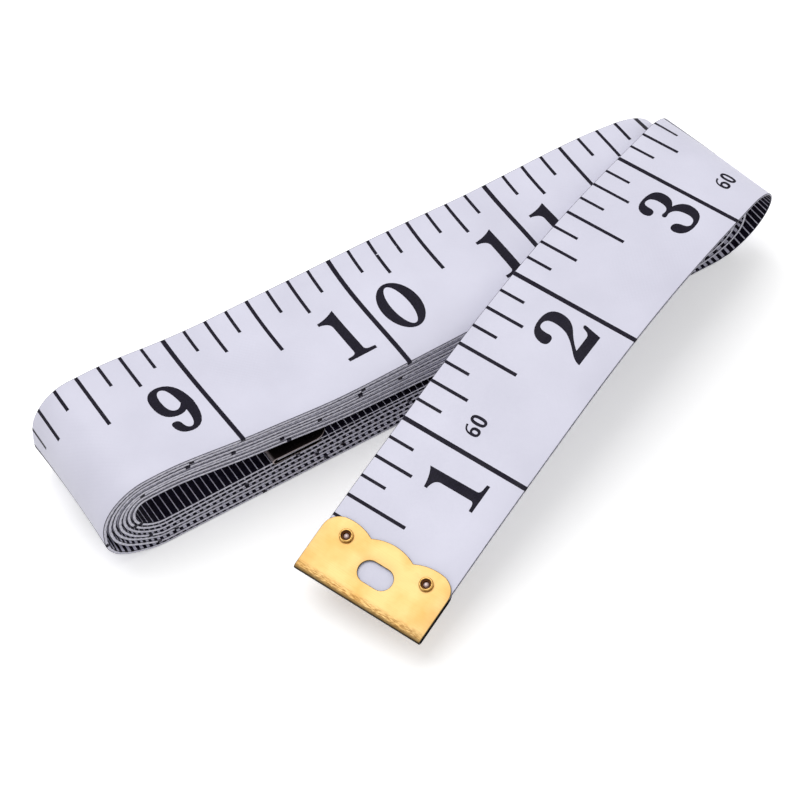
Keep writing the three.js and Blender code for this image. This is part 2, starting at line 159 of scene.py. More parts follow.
# How the free end sags between the coil and its clip: runs and heights, in millimetres, and the slope
# at the clip
SAG_RUNS = (-6, 11, 16, 22, 29, 35, 44, 52, 62, 70)
SAG_HEIGHTS = (0.33, -0.6, -0.9, -1.1, -1.2, -1, -0.55, -0.2, 0, 0)
SAG_SLOPE = 0.93 / 17

# How the curves through all these places are smoothed, in millimetres or degrees
CURVE_MARGIN = 4
CURVE_SPACING = 0.25

# Print on the scale's side. Each tick has a length and a width. Near the clip, the scale stands a little
# short of its true places.
PRINT_START = -0.3 * MM
PRINT_MARGIN = 2 * MM
PRINT_GAP = 0.1 * MM
SCALE_SHIFT = 0.3 * MM
SCALE_SHIFT_FROM = 60 * MM
SCALE_SHIFT_LENGTH = 16 * MM
INK_LIFT = 0.015 * MM
INK_SINK = 0.03 * MM
EIGHTH_TICK = (3.85 * MM, 0.44 * MM)
QUARTER_TICK = (5.8 * MM, 0.46 * MM)
HALF_TICK = (9.1 * MM, 0.5 * MM)
INCH_LINE_WIDTH = 0.66 * MM
INCH_LINE_EDGE_SHARE = 0.7
DIGIT_HEIGHT = 8.2 * MM
DIGIT_TOP = 6.95 * MM
DIGIT_ASIDE = 4.4 * MM
NUMBERS = range(1, 13)
LEGEND = "60"
LEGEND_HEIGHT = 2.4 * MM
LEGEND_SPACE = 0.25 * MM
LEGEND_PLACES = ((27.6 * MM, 7.5 * MM), (80.5 * MM, 12.6 * MM))

# Bars on the plain side, with their widths at distances from the foot of the curl, in millimetres
BACK_BAR_LENGTH = 4.52 * MM
BACK_BAR_WRAP = EDGE_ROUND + 0.6 * CORNER_GIRTH
BACK_PITCH = 1 * MM
BAR_RUNS = (-6, -4, 700, 950, 1150, 1280)
BAR_WIDTHS = (0.8, 0.5, 0.54, 0.72, 0.82, 0.86)

# Clip and rivets
CLIP_SHEET = 0.25 * MM
CLIP_TAPE_CLEARANCE = 0.12 * MM
CLIP_OVERHANG = 0.15 * MM
CLIP_SET_IN = 0.4 * MM
CLIP_SIDE_LENGTH = 6.5 * MM
CLIP_VALLEY_LENGTH = 8.3 * MM
CLIP_LOBES = 3
CLIP_LOBE_HEIGHT = 0.8 * MM
CLIP_SHOULDER = 1.9 * MM
CLIP_RIM_ROUND = 0.1 * MM
CLIP_ARC_STEPS = 12
SLOT_LENGTH = 5 * MM
SLOT_WIDTH = 3 * MM
SLOT_FROM_FOLD = 4.5 * MM
RIVET_FROM_FOLD = 6.9 * MM
RIVET_EDGE_DISTANCE = 3.4 * MM
RIVET_HEAD_RADIUS = 0.95 * MM
RIVET_HEAD_HEIGHT = 0.34 * MM
RIVET_SHANK_RADIUS = 0.5 * MM
RIVET_DIMPLE_RADIUS = 0.6 * MM
RIVET_DIMPLE_DEPTH = 0.5 * MM
RIVET_TAIL_RADIUS = 0.85 * MM
RIVET_TAIL_HEIGHT = 0.2 * MM
RIVET_HOLE_RADIUS = 0.6 * MM
RIVET_SEAT_GAP = 0.04 * MM
RIVET_SIDES = 40
RIVET_BUTTON_HEIGHT = 0.3 * MM
RIVET_BUTTON_SHARES = ((0.25, 0.9), (0.45, 0.6), (0.6, 0.1), (0.72, 0), (0.9, 0.4))
RIVET_BEVEL_SHARES = (0.85, 0.4)

CLIP_HALF_GAP = HALF_SOLID + CLIP_TAPE_CLEARANCE
CLIP_HALF_THICKNESS = CLIP_HALF_GAP + CLIP_SHEET
CLIP_MIDDLE = CLIP_HALF_GAP + CLIP_SHEET / 2
CLIP_HALF_WIDTH = HALF_WIDTH + CLIP_OVERHANG
CLIP_FOLD_REACH = CLIP_MIDDLE * QUARTER_TURN
CLIP_UNFOLDED = CLIP_HALF_THICKNESS - CLIP_FOLD_REACH
CLIP_FOLD_STEPS = 8
RIM_STEPS = 3
SHARPEST_CORNER = 0.5
RIVET_ASIDE = HALF_WIDTH - RIVET_EDGE_DISTANCE

# From the coil's own frame to the part's frame, as the solids were moved to within 0.05 mm
PART_SHIFT = (-43.628 * MM, 16.803 * MM, 0)

# Looks: the weave, the brushing, the band of specks by a clip's fold, and the radii in millimetres
# between which a rivet's painted glint ends and, past the painted shade of its dimple, its gold rim
# starts
THREADS_PER_METRE = 1500.0
WEAVE_DEPTH = 0.02 * MM
BRUSHING_DEPTH = 0.01 * MM
BRUSHING_SCALES = {
    "Scratches": (9000, 260, 9000), "Rubbing": (220, 220, 220), "Specks": (12000, 1400, 12000),
}
FOLD_BAND_PLACE = 0.65 * MM
FOLD_BAND_REACH = 0.8 * MM
RIVET_GLINT = (0.3, 0.42)
RIVET_RING = (0.64, 0.78)
SPECK_BROWN = (120, 84, 40)
# Painted shade on brass faces that turn away and on the inner side of a clip's sheet
BRASS_PAINTED_SHADE = (12, 9, 6)

# Light, as shares of full white: from all round, from the floor, and the floor as the camera sees it and
# its glow. The floor lies just under the cloth's lowest place. Lamps have a place, a size and a power.
ROOM_LIGHT = 0.62
FLOOR_BOUNCE = 0.75
FLOOR_SEEN = 1.0
FLOOR_GLOW = 0.3
FLOOR_LEVEL = -0.05 * MM
FLOOR_REACH = 3.0
LAMPS_AIM = (0, 0, 0.01)
LAMPS = (
    ("key", (-0.1, 0.25, 0.8), 0.7, 3.2),
    ("fill", (0.6, -0.5, 0.5), 0.6, 0.3),
)

# Camera, from the photograph
CAMERA_TARGET = (-5.814 * MM, 10.633 * MM, 0)
CAMERA_DISTANCE = 366 * MM
CAMERA_AZIMUTH = 0.5698
CAMERA_ELEVATION = 0.9199
CAMERA_ROLL = 0.0021
CAMERA_LENS = 121.5
CAMERA_SENSOR = 36
CAMERA_CLIP_START = 0.01


def bend(x, y):
    """A point that an outline curves towards without touching it."""
    return (x, y, True)


# Outlines of the numbers, as shares of their height, from the foot of their left side. The first
# loop is the outside, and the others are holes.
ZERO_SHARES = ((0.342, 0.5, 0.342, 0.502), (0.338, 0.5, 0.154, 0.43))
DIGIT_SHARES = {
    "1": [[
        (0, 0.888), bend(0.2, 0.905), (0.348, 1), (0.362, 0.13), bend(0.362, 0.075), (0.44, 0.066),
        (0.54, 0.058), (0.54, 0), (0.025, 0), (0.025, 0.058), (0.115, 0.066), bend(0.187, 0.075),
        (0.187, 0.13), (0.185, 0.69), bend(0.185, 0.8), (0.03, 0.83), (0, 0.83),
    ]],
    "2": [[
        (0.112, 0.626), bend(0.215, 0.626), (0.215, 0.714), bend(0.2, 0.925), (0.3, 0.928),
        bend(0.434, 0.928), (0.434, 0.765), bend(0.434, 0.622), (0.378, 0.499), bend(0.307, 0.37),
        (0.112, 0.192), bend(0.01, 0.09), (0, 0), (0.603, 0), (0.669, 0.315), bend(0.67, 0.345),
        (0.634, 0.34), bend(0.61, 0.335), (0.595, 0.3), bend(0.562, 0.182), (0.48, 0.182),
        (0.194, 0.182), bend(0.307, 0.32), (0.481, 0.438), bend(0.644, 0.56), (0.644, 0.755),
        bend(0.644, 1.004), (0.348, 1.004), bend(0.05, 1.004), (0.014, 0.744), bend(0.014, 0.626),
    ]],
    "3": [[
        (0.118, 0.693), bend(0.21, 0.693), (0.21, 0.798), bend(0.205, 0.936), (0.293, 0.936),
        bend(0.433, 0.936), (0.433, 0.757), bend(0.433, 0.557), (0.293, 0.557), (0.231, 0.565),
        bend(0.175, 0.565), (0.175, 0.524), bend(0.175, 0.482), (0.231, 0.482), (0.293, 0.495),
        bend(0.482, 0.475), (0.482, 0.231), bend(0.482, 0.066), (0.324, 0.066), bend(0.235, 0.066),
        (0.221, 0.19), bend(0.195, 0.309), (0.097, 0.309), bend(0, 0.309), (0, 0.21),
        bend(0.02, 0), (0.313, -0.004), bend(0.695, -0.004), (0.695, 0.303), bend(0.68, 0.46),
        (0.478, 0.536), bend(0.645, 0.6), (0.645, 0.777), bend(0.645, 1), (0.313, 1),
        bend(0.04, 1), (0.021, 0.819), bend(0.021, 0.693),
    ]],
    "4": [[
        (0.57, 1), (0.45, 1), (0, 0.31), (0, 0.23), (0.4, 0.23), (0.4, 0.12), bend(0.4, 0.07),
        (0.33, 0.06), (0.27, 0.055), (0.27, 0), (0.7, 0), (0.7, 0.055), (0.64, 0.06),
        bend(0.57, 0.07), (0.57, 0.12), (0.57, 0.23), (0.7, 0.23), (0.7, 0.31), (0.57, 0.31),
    ], [(0.4, 0.31), (0.4, 0.83), (0.07, 0.31)]],
    "5": [[
        (0.09, 1), (0.57, 1), (0.53, 0.84), (0.16, 0.84), (0.14, 0.6), bend(0.22, 0.66), (0.33, 0.66),
        bend(0.63, 0.66), (0.63, 0.34), bend(0.63, 0), (0.29, 0), bend(0, 0), (0, 0.2),
        bend(0, 0.3), (0.1, 0.3), bend(0.2, 0.3), (0.2, 0.2), bend(0.22, 0.07), (0.29, 0.07),
        bend(0.44, 0.07), (0.44, 0.33), bend(0.44, 0.58), (0.3, 0.58), bend(0.18, 0.58), (0.11, 0.5),
        (0.07, 0.52),
    ]],
    "7": [[
        (0, 0.7), (0.04, 0.7), bend(0.07, 0.83), (0.16, 0.83), (0.49, 0.83), bend(0.2, 0.45),
        (0.18, 0), (0.38, 0), bend(0.38, 0.4), (0.64, 0.92), (0.64, 1), (0, 1),
    ]],
    "8": [[
        (0.33, 1), bend(0.6, 1), (0.6, 0.76), bend(0.6, 0.6), (0.46, 0.53), bend(0.66, 0.45),
        (0.66, 0.25), bend(0.66, 0), (0.33, 0), bend(0, 0), (0, 0.25), bend(0, 0.45), (0.2, 0.53),
        bend(0.06, 0.6), (0.06, 0.76), bend(0.06, 1),
    ], [
        (0.33, 0.93), bend(0.22, 0.93), (0.22, 0.78), bend(0.22, 0.64), (0.36, 0.59),
        bend(0.45, 0.66), (0.45, 0.78), bend(0.45, 0.93),
    ], [
        (0.3, 0.48), bend(0.17, 0.42), (0.17, 0.25), bend(0.17, 0.07), (0.33, 0.07),
        bend(0.49, 0.07), (0.49, 0.23), bend(0.49, 0.4),
    ]],
    "9": [[
        (0.278, 1), bend(0.59, 0.985), (0.628, 0.526), bend(0.61, 0.01), (0.304, 0), bend(0.09, 0.01),
        (0.078, 0.206), bend(0.078, 0.272), (0.154, 0.272), bend(0.22, 0.272), (0.234, 0.206),
        bend(0.25, 0.08), (0.324, 0.08), bend(0.438, 0.09), (0.438, 0.41), bend(0.38, 0.356),
        (0.264, 0.356), bend(0, 0.37), (0, 0.716), bend(0, 1),
    ], [
        (0.278, 0.926), bend(0.175, 0.926), (0.17, 0.726), bend(0.17, 0.466), (0.3, 0.466),
        bend(0.37, 0.466), (0.43, 0.566), bend(0.4, 0.926),
    ]],
}
LEGEND_SHARES = {
    "6": [[
        (0.48, 0.99), bend(0, 0.93), (0, 0.38), bend(0, 0), (0.27, 0), bend(0.54, 0), (0.54, 0.31),
        bend(0.54, 0.61), (0.29, 0.61), bend(0.18, 0.61), (0.13, 0.53), bend(0.14, 0.86), (0.48, 0.87),
    ], [
        (0.27, 0.47), bend(0.17, 0.47), (0.17, 0.31), bend(0.17, 0.15), (0.27, 0.15), bend(0.37, 0.15),
        (0.37, 0.31), bend(0.37, 0.47),
    ]],
    "0": [[
        (0.28, 1), bend(0, 1), (0, 0.5), bend(0, 0), (0.28, 0), bend(0.56, 0), (0.56, 0.5), bend(0.56, 1),
    ], [
        (0.28, 0.84), bend(0.18, 0.84), (0.18, 0.5), bend(0.18, 0.16), (0.28, 0.16), bend(0.38, 0.16),
        (0.38, 0.5), bend(0.38, 0.84),
    ]],
}

# Steps of the outlines and films, the distance in millimetres at which two corners become one, and how
# far past the foot of the curl the free end's print goes on
CURVE_STEPS = 7
OVAL_STEPS = 40
INK_STEP = 0.7 * MM
MERGE_DISTANCE = 1e-5
FOOT_MARGIN = 2.2 * MM

# The run where the tip starts
TIP_RUN = 2 * INCH

# Mesh of the tape
COIL_FLAT_STEPS = 12
FREE_FLAT_STEPS = 4
CORNER_STEPS = 2
STRAIGHT_STEP = 1.25 * MM
FREE_STEP = 0.7 * MM
BEND_STEP = math.radians(4)
SMOOTH_ANGLE = math.radians(50)


class Walker:
    """A point that walks along the tape's middle surface and turns towards its plain side."""

    def __init__(self, position, heading, printed):
        self.position = Vector(position)
        self.heading = Vector(heading)
        self.printed = Vector(printed)
        self.run = 0.0
        self.stretches = []

    def go(self, length, radius=math.inf):
        """One stretch further, straight or round a bend of a radius."""
        self.stretches.append((self.run, self.position, self.heading, self.printed, radius))
        self.position, self.heading, self.printed = along(self.stretches[-1], length)
        self.run += length


def along(stretch, distance):
    """Position, heading and printed side at a distance from a stretch's start."""
    _, position, heading, printed, radius = stretch
    if math.isinf(radius):
        return position + heading * distance, heading, printed
    turn = distance / radius
    turned = printed * math.cos(turn) + heading * math.sin(turn)
    straightened = heading * math.cos(turn) - printed * math.sin(turn)
    return position + (turned - printed) * radius, straightened, turned


def walked(stretches, run):
    """Position, heading and printed side at a run from the walk's start."""
    found = stretches[0]
    for stretch in stretches:
        if stretch[0] > run:
            break
        found = stretch
    return along(found, run - found[0])


def outer_tangent(first, first_radius, second, second_radius):
    """The downward tilt and the length of the straight that touches two round bends from above."""
    across = second.x - first.x
    up = second.z - first.z
    distance = math.hypot(across, up)
    shrink = first_radius - second_radius
    return math.asin(shrink / distance) - math.atan2(up, across), math.sqrt(distance**2 - shrink**2)


def wind_coil(span):
    """Winds the coil inwards from the foot of the curl, for a distance between its end bends."""
    walker = Walker((span + CURL_REACH, 0, HALF_SOLID), (-1, 0, 0), (0, 0, -1))
    for turn in range(TURNS):
        inset = turn * PITCH
        lower = OUTER_LOWER_RADIUS - inset
        upper = OUTER_UPPER_RADIUS - inset
        right = OUTER_RIGHT_RADIUS - inset
        walker.go(walker.position.x)
        walker.go(lower * LOWER_BEND_ANGLE, lower)
        upper_centre = walker.position - walker.printed * upper
        right_centre = Vector((span - turn * RIGHT_BEND_STEP, 0, HALF_SOLID + PITCH + OUTER_RIGHT_RADIUS))
        tilt, length = outer_tangent(upper_centre, upper, right_centre, right)
        walker.go(upper * (HALF_TURN - LOWER_BEND_ANGLE + tilt), upper)
        walker.go(length)
        rise = TAIL_RISE if turn == TURNS - 1 else 0
        walker.go(right * (HALF_TURN - tilt + rise), right)
    walker.go(TAIL_LENGTH)
    return walker


def solved_span():
    """The distance between the end bends with which the tape has its whole length."""
    low = 0.0
    high = TAPE_LENGTH / TURNS
    for _ in range(SOLVER_ROUNDS):
        middle = (low + high) / 2
        if wind_coil(middle).run < TAPE_LENGTH - RUN_TO_COIL:
            low = middle
        else:
            high = middle
    return (low + high) / 2


UP = Vector((0, 0, 1))
FAR = Vector((0, 1, 0))
CURL_AXIS = Vector((-math.sin(SKEW), math.cos(SKEW), 0))
CURL_ACROSS = Vector((math.cos(SKEW), math.sin(SKEW), 0))

span = solved_span()
coil_walker = wind_coil(span)
curl_foot = Vector((span + CURL_REACH, 0, HALF_SOLID))


def curl_place(length, aside):
    """A place on the curl, this far along from its foot and this far left of the middle."""
    rolled = length * math.cos(SKEW) + aside * math.sin(SKEW)
    slid = aside * math.cos(SKEW) - length * math.sin(SKEW)
    turn = min(max(rolled / CURL_RADIUS, 0), CURL_TURN)
    beyond = rolled - turn * CURL_RADIUS
    tangent = CURL_ACROSS * math.cos(turn) + UP * math.sin(turn)
    point = curl_foot + CURL_AXIS * slid + CURL_ACROSS * (CURL_RADIUS * math.sin(turn))
    point += UP * (CURL_RADIUS * (1 - math.cos(turn))) + tangent * beyond
    left = tangent * math.sin(SKEW) + CURL_AXIS * math.cos(SKEW)
    return point, left, CURL_ACROSS * math.sin(turn) - UP * math.cos(turn)


def walk_free_end():
    """From the curl down to the clip: flat, bowed down, then flat in the clip."""
    top, left, printed = curl_place(CURL_STRIP, 0)
    walker = Walker(top, printed.cross(left), printed)
    walker.go(LEAF_FLAT_LENGTH)
    walker.go(FREE_LENGTH - CLIP_FLAT_LENGTH - LEAF_FLAT_LENGTH, BOW_RADIUS)
    walker.go(CLIP_FLAT_LENGTH)
    return walker, left


free_walker, free_left = walk_free_end()


def turn_knots():
    """Runs at the middle of each lower and each upper straight, with the sideways drift there."""
    runs = [RUN_TO_COIL + CURL_REACH]
    drifts = [0.0]
    turns = [0.0]
    straights = [s[0] for s in coil_walker.stretches if math.isinf(s[4])]
    ends = straights[1:] + [coil_walker.run]
    for number, (start, end) in enumerate(zip(straights, ends)):
        turn = number // 2
        fan = UPPER_FAN if number % 2 else LOWER_FAN
        if 0 < number < 2 * TURNS:
            runs.append(RUN_TO_COIL + (start + end) / 2)
            drifts.append(fan * turn)
            turns.append(number / 2)
    runs.append(TAPE_LENGTH - THINNING_LENGTH / 2)
    drifts.append(0.0)
    turns.append(TURNS)
    return runs, drifts, turns


knot_runs, knot_drifts, knot_turns = turn_knots()


def smooth_step(value):
    """An even rise from nothing to one."""
    value = min(max(value, 0.0), 1.0)
    return value * value * (3 - 2 * value)


def in_coil(run):
    """One in the coil, easing to nothing at the foot of the curl and towards the inner clip."""
    start = smooth_step((run - RUN_TO_COIL - CURL_REACH) / THICKENING_LENGTH)
    return start * smooth_step((TAPE_LENGTH - run) / THINNING_LENGTH)


def thickness_at(run):
    return FREE_THICKNESS + (COIL_THICKNESS - FREE_THICKNESS) * in_coil(run)


def wander(run):
    """How far the coil's layers stray from their even pitch."""
    phase = run / WANDER_LENGTH
    waves = [math.sin(pace * phase + start) for pace, start in WANDER_WAVES]
    return WANDER * in_coil(run) * sum(waves) / 2


def drift(run):
    """How far the coil's layers stray sideways."""
    stray = SIDE_WANDER * wander(run + SIDE_WANDER_START)
    return float(np.interp(run, knot_runs, knot_drifts)) * in_coil(run) + stray


def smooth_curve(places, values):
    """A smooth curve through the values, as a fine table for np.interp."""
    fine = np.arange(places[0] - CURVE_MARGIN, places[-1] + CURVE_MARGIN, CURVE_SPACING)
    weights = np.hanning(2 * int(CURVE_MARGIN / CURVE_SPACING) + 1)
    level = np.interp(fine, places, values)
    return fine, np.convolve(level, weights / weights.sum(), mode="same")


settle_curves = [smooth_curve(SETTLE_PLACES, heights) for heights in SETTLE_HEIGHTS]
inner_curve = smooth_curve(INNER_PLACES, INNER_HEIGHTS)
lean_curves = [smooth_curve(LEAN_PLACES, shifts) for shifts in (LEAN_ALL, LEAN_NEAR)]
swell_curve = smooth_curve(SWELL_ANGLES, SWELL_HEIGHTS)
press_curve = smooth_curve(PRESS_ANGLES, PRESS_DEPTHS)
sag_curve = smooth_curve(SAG_RUNS, SAG_HEIGHTS)
across_powers = np.linalg.inv(np.vander(ACROSS_SHARES, increasing=True))


def across(nearness, levels):
    """A smooth curve through levels at the far edge, a quarter and half of the way and the near edge."""
    return float(nearness ** np.arange(len(levels)) @ across_powers @ levels)


def settled(run, aside, point, printed):
    """A point of the coil after its upper half has settled and its end bends have opened."""
    place_along = (point.x - curl_foot.x + span + CURL_REACH) / MM
    turn = float(np.interp(run, knot_runs, knot_turns))
    nearness = (HALF_WIDTH - aside) / TAPE_WIDTH
    angle = math.degrees(math.atan2(-printed.x, -printed.z))
    swell = float(np.interp(angle, *swell_curve)) * across(nearness, SWELL_ACROSS)
    swell *= SWELL_LEFT_PER_TURN**turn
    pressed = smooth_step(turn / PRESS_FROM_TURN - 1) * (1 - turn / TURNS)
    swell -= float(np.interp(angle, *press_curve)) * pressed
    reach = REACH_FAR + (REACH_NEAR - REACH_FAR) * nearness + REACH_PER_TURN * turn
    drop = TAIL_DROP / MM * max(0, 1 - (TAPE_LENGTH - run) / TAIL_LENGTH)
    moved = printed * swell + Vector((reach * smooth_step(printed.x), 0, -drop))
    upper = smooth_step((point.z - SETTLE_FROM) / (SETTLE_TO - SETTLE_FROM))
    if upper > 0:
        height = across(nearness, [float(np.interp(place_along, *curve)) for curve in settle_curves])
        further = np.interp(place_along, *inner_curve) * turn / TURNS
        lean, near_lean = (float(np.interp(place_along, *curve)) for curve in lean_curves)
        near = nearness**2
        moved += Vector((lean + near_lean * near, 0, height + float(further) * near)) * upper
    return point + moved * MM


def place(run, aside):
    """Point of the middle surface, left direction and printed side."""
    if run <= FREE_LENGTH:
        point, _, printed = walked(free_walker.stretches, FREE_LENGTH - run)
        sag = float(np.interp(run / MM, *sag_curve)) * MM
        return point + free_left * aside + UP * sag, free_left, printed
    if run <= RUN_TO_COIL + CURL_REACH:
        return curl_place(RUN_TO_COIL - run, aside)
    point, _, printed = walked(coil_walker.stretches, run - RUN_TO_COIL)
    point = point + FAR * (aside + drift(run)) + printed * wander(run)
    return settled(run, aside, point, printed), FAR, printed


def across_section(girth, thickness):
    """Where a walk round the cut edge comes to: left from the middle, out from the middle, and facing.

    The walk starts at the left of the printed side and goes over the right edge to the plain side.
    """
    inner = HALF_WIDTH - EDGE_ROUND
    high = HALF_SOLID - EDGE_ROUND
    low = HALF_SOLID - thickness + EDGE_ROUND
    centre = (inner, high)
    walked_on = girth - EDGE_ROUND
    angle = max(walked_on / EDGE_ROUND, -QUARTER_TURN)
    ahead = 0.0
    # Each side is a straight and then the corner round this centre
    if walked_on >= 0:
        for number, centre in enumerate(((-inner, high), (-inner, low), (inner, low), (inner, high))):
            straight = high - low if number % 2 else FLAT_GIRTH
            angle = number * QUARTER_TURN
            if walked_on <= straight:
                ahead = straight - walked_on
                break
            walked_on -= straight
            if walked_on <= CORNER_GIRTH or number == 3:
                angle += min(walked_on / EDGE_ROUND, QUARTER_TURN)
                break
            walked_on -= CORNER_GIRTH
    facing = (-math.sin(angle), math.cos(angle))
    aside = centre[0] + EDGE_ROUND * facing[0] + ahead * facing[1]
    return aside, centre[1] + EDGE_ROUND * facing[1] - ahead * facing[0], facing


def skin(run, girth, lift=0.0, slant=0.0):
    """A point on the tape's surface, or lifted off it. With a slant, the run follows a slanted line."""
    aside, out, facing = across_section(girth, thickness_at(run))
    point, left, printed = place(run + slant * aside, aside)
    return point + printed * (out + lift * facing[1]) + left * (lift * facing[0])


def girth_stations(thickness, flat_steps):
    """Places round the cut edge for the tape's mesh: first the printed side's, then the plain side's."""
    stations = []
    start = EDGE_ROUND
    for _ in range(2):
        stations += [start + FLAT_GIRTH * step / flat_steps for step in range(flat_steps)]
        start += FLAT_GIRTH
        stations += [start + CORNER_GIRTH * step / CORNER_STEPS for step in range(CORNER_STEPS + 1)]
        start += CORNER_GIRTH + thickness - 2 * EDGE_ROUND
        stations += [start + CORNER_GIRTH * step / CORNER_STEPS for step in range(CORNER_STEPS)]
        start += CORNER_GIRTH
    return stations


def plain_girth(thickness):
    """Where the walk round the cut edge comes to the flat of the plain side."""
    return FLAT_GIRTH + 2 * CORNER_GIRTH + thickness - EDGE_ROUND


def spread(first, last, step):
    """Even places from the first to the last, both included, that are at most a step apart."""
    count = max(1, math.ceil(abs(last - first) / step))
    return [first + (last - first) * number / count for number in range(count + 1)]


def arc(x, y, radius, first, last, steps):
    """Points round an arc, from one angle to another."""
    angles = [first + (last - first) * step / steps for step in range(steps + 1)]
    return [(x + radius * math.cos(angle), y + radius * math.sin(angle)) for angle in angles]


def border_of(faces):
    """The edges that only one face has, each as its start and its end."""
    edges = {}
    for face in faces:
        for start, end in zip(face, face[1:] + face[:1]):
            if edges.pop((end, start), None) is None:
                edges[(start, end)] = True
    return list(edges)


def new_object(name, points, faces, materials, smooth_angle=None):
    mesh = bpy.data.meshes.new(name)
    mesh.from_pydata([tuple(point) for point in points], [], faces)
    for material in materials:
        mesh.materials.append(material)
    piece = bpy.data.objects.new(name, mesh)
    bpy.context.scene.collection.objects.link(piece)
    if smooth_angle is not None:
        mesh.shade_smooth()
        mesh.set_sharp_from_angle(angle=smooth_angle)
    mesh.update()
    return piece


def tape_piece(name, rows, flat_steps, materials):
    """A closed strip of tape through rows, each a run at the tape's middle and a slant.

    The faces of its cut edges have the second material, and their corners the third, a painted shade.
    """
    points = []
    layouts = []
    for run, slant in rows:
        stations = girth_stations(thickness_at(run), flat_steps)
        points += [skin(run, girth, 0.0, slant) for girth in stations]
        closing = stations[-1] + CORNER_GIRTH / CORNER_STEPS
        layouts.append([(run, girth) for girth in stations + [closing]])
    count = len(points) // len(rows)
    faces = []
    layout = []
    for row in range(len(rows) - 1):
        near, far = layouts[row], layouts[row + 1]
        for number in range(count):
            here = row * count + number
            beside = row * count + (number + 1) % count
            faces.append((here, beside, beside + count, here + count))
            layout += [near[number], near[number + 1], far[number + 1], far[number]]
    last = (len(rows) - 1) * count
    faces.append(tuple(range(count - 1, -1, -1)))
    faces.append(tuple(last + number for number in range(count)))
    layout += layouts[0][count - 1::-1] + layouts[-1][:count]
    piece = new_object(name, points, faces, materials, SMOOTH_ANGLE)
    # Cut edges take the second material, and their corners the third, a painted shade
    for side in (flat_steps + CORNER_STEPS, count - CORNER_STEPS - 1):
        for number in range(side, (len(rows) - 1) * count, count):
            piece.data.polygons[number].material_index = 1
            for corner in range(1, CORNER_STEPS + 1):
                piece.data.polygons[number - corner].material_index = 2
                piece.data.polygons[number + corner].material_index = 2
    layer = piece.data.uv_layers.new(name="along_and_across")
    for corner, value in zip(layer.data, layout):
        corner.uv = value
    face_outwards(piece)
    return piece


def face_outwards(piece):
    """Turns a closed mesh right side out."""
    shape = bmesh.new()
    shape.from_mesh(piece.data)
    bmesh.ops.recalc_face_normals(shape, faces=shape.faces)
    shape.to_mesh(piece.data)
    shape.free()


def coil_rows():
    """Rows of the coil's mesh, inwards from the foot of the curl."""
    rows = [(RUN_TO_COIL, math.tan(SKEW)), (RUN_TO_COIL + CURL_REACH, 0.0)]
    for start, _, _, _, radius in coil_walker.stretches:
        ends = [s[0] for s in coil_walker.stretches if s[0] > start] + [coil_walker.run - END_INSET]
        step = STRAIGHT_STEP if math.isinf(radius) else radius * BEND_STEP
        for run in spread(start, ends[0], step)[:-1]:
            if run > CURL_REACH + STRAIGHT_STEP / 2:
                rows.append((RUN_TO_COIL + run, 0.0))
    rows.append((TAPE_LENGTH - END_INSET, 0.0))
    return rows


def free_rows():
    """Rows of the curl and the free end, down to the tip."""
    stretch = CURL_RADIUS / math.cos(SKEW)
    curl = spread(RUN_TO_COIL, RUN_TO_COIL - stretch * CURL_TURN, stretch * BEND_STEP)
    rows = [(run, math.tan(SKEW)) for run in curl]
    return rows + [(run, 0.0) for run in spread(FREE_LENGTH, TIP_RUN, FREE_STEP)[1:]]


def tip_rows():
    """Rows of the tip, down to its end in the clip."""
    return [(run, 0.0) for run in spread(TIP_RUN, END_INSET, FREE_STEP)]


class Ink:
    """Thin closed films of ink that follow the tape's skin, gathered into one mesh."""

    def __init__(self):
        self.points = []
        self.faces = []

    def film(self, places, faces):
        """A film from places, each a run and a girth, and from faces that number them."""
        first = len(self.points)
        count = len(places)
        self.points += [skin(run, girth, INK_LIFT) for run, girth in places]
        self.points += [skin(run, girth, -INK_SINK) for run, girth in places]
        for face in faces:
            self.faces.append(tuple(first + number for number in face))
            self.faces.append(tuple(first + count + number for number in reversed(face)))
        for start, end in border_of(faces):
            self.faces.append((first + end, first + start, first + count + start, first + count + end))

    def bar(self, run, width, girths):
        """A straight bar across the tape at a run, with stations at these girths."""
        places = []
        for girth in girths:
            places += [(run - width / 2, girth), (run + width / 2, girth)]
        faces = [(2 * step, 2 * step + 1, 2 * step + 3, 2 * step + 2) for step in range(len(girths) - 1)]
        self.film(places, faces)

    def shape(self, loops, left_run, top_girth, height):
        """Filled outlines, given as shares of their height."""
        loops = [[(x * height, y * height) for x, y in loop] for loop in loops]
        corners, triangles = filled(loops)
        places = [(left_run + x, top_girth + height - y) for x, y in corners]
        self.film(places, triangles)

    def piece(self, name, material):
        piece = new_object(name, self.points, self.faces, [material])
        face_outwards(piece)
        return piece


def outline_points(outline):
    """The corners of an outline, with each bend drawn as a curve of short straights."""
    points = []
    count = len(outline)
    for number, point in enumerate(outline):
        if len(point) == 2:
            points.append(point)
            continue
        before = outline[number - 1][:2]
        after = outline[(number + 1) % count][:2]
        for step in range(1, CURVE_STEPS):
            share = step / CURVE_STEPS
            ends = [(1 - share) ** 2, 2 * share * (1 - share), share**2]
            points.append(tuple(
                ends[0] * before[axis] + ends[1] * point[axis] + ends[2] * after[axis] for axis in (0, 1)
            ))
    return points


def oval_points(shares):
    """An oval from its middle, its half width and its half height."""
    x, y, half_width, half_height = shares
    circle = arc(0, 0, 1, 0, 2 * HALF_TURN, OVAL_STEPS)[:-1]
    return [(x + half_width * across_x, y + half_height * up_y) for across_x, up_y in circle]


def turned_round(loops):
    """The same shape turned half round in its own box."""
    width = max(x for x, y in loops[0])
    return [[(width - x, 1 - y) for x, y in loop] for loop in loops]


def digit_loops(digit):
    """A digit's outlines. A six is a nine turned half round."""
    if digit == "6":
        return turned_round(digit_loops("9"))
    if digit == "0":
        return [oval_points(shares) for shares in ZERO_SHARES]
    return [outline_points(outline) for outline in DIGIT_SHARES[digit]]


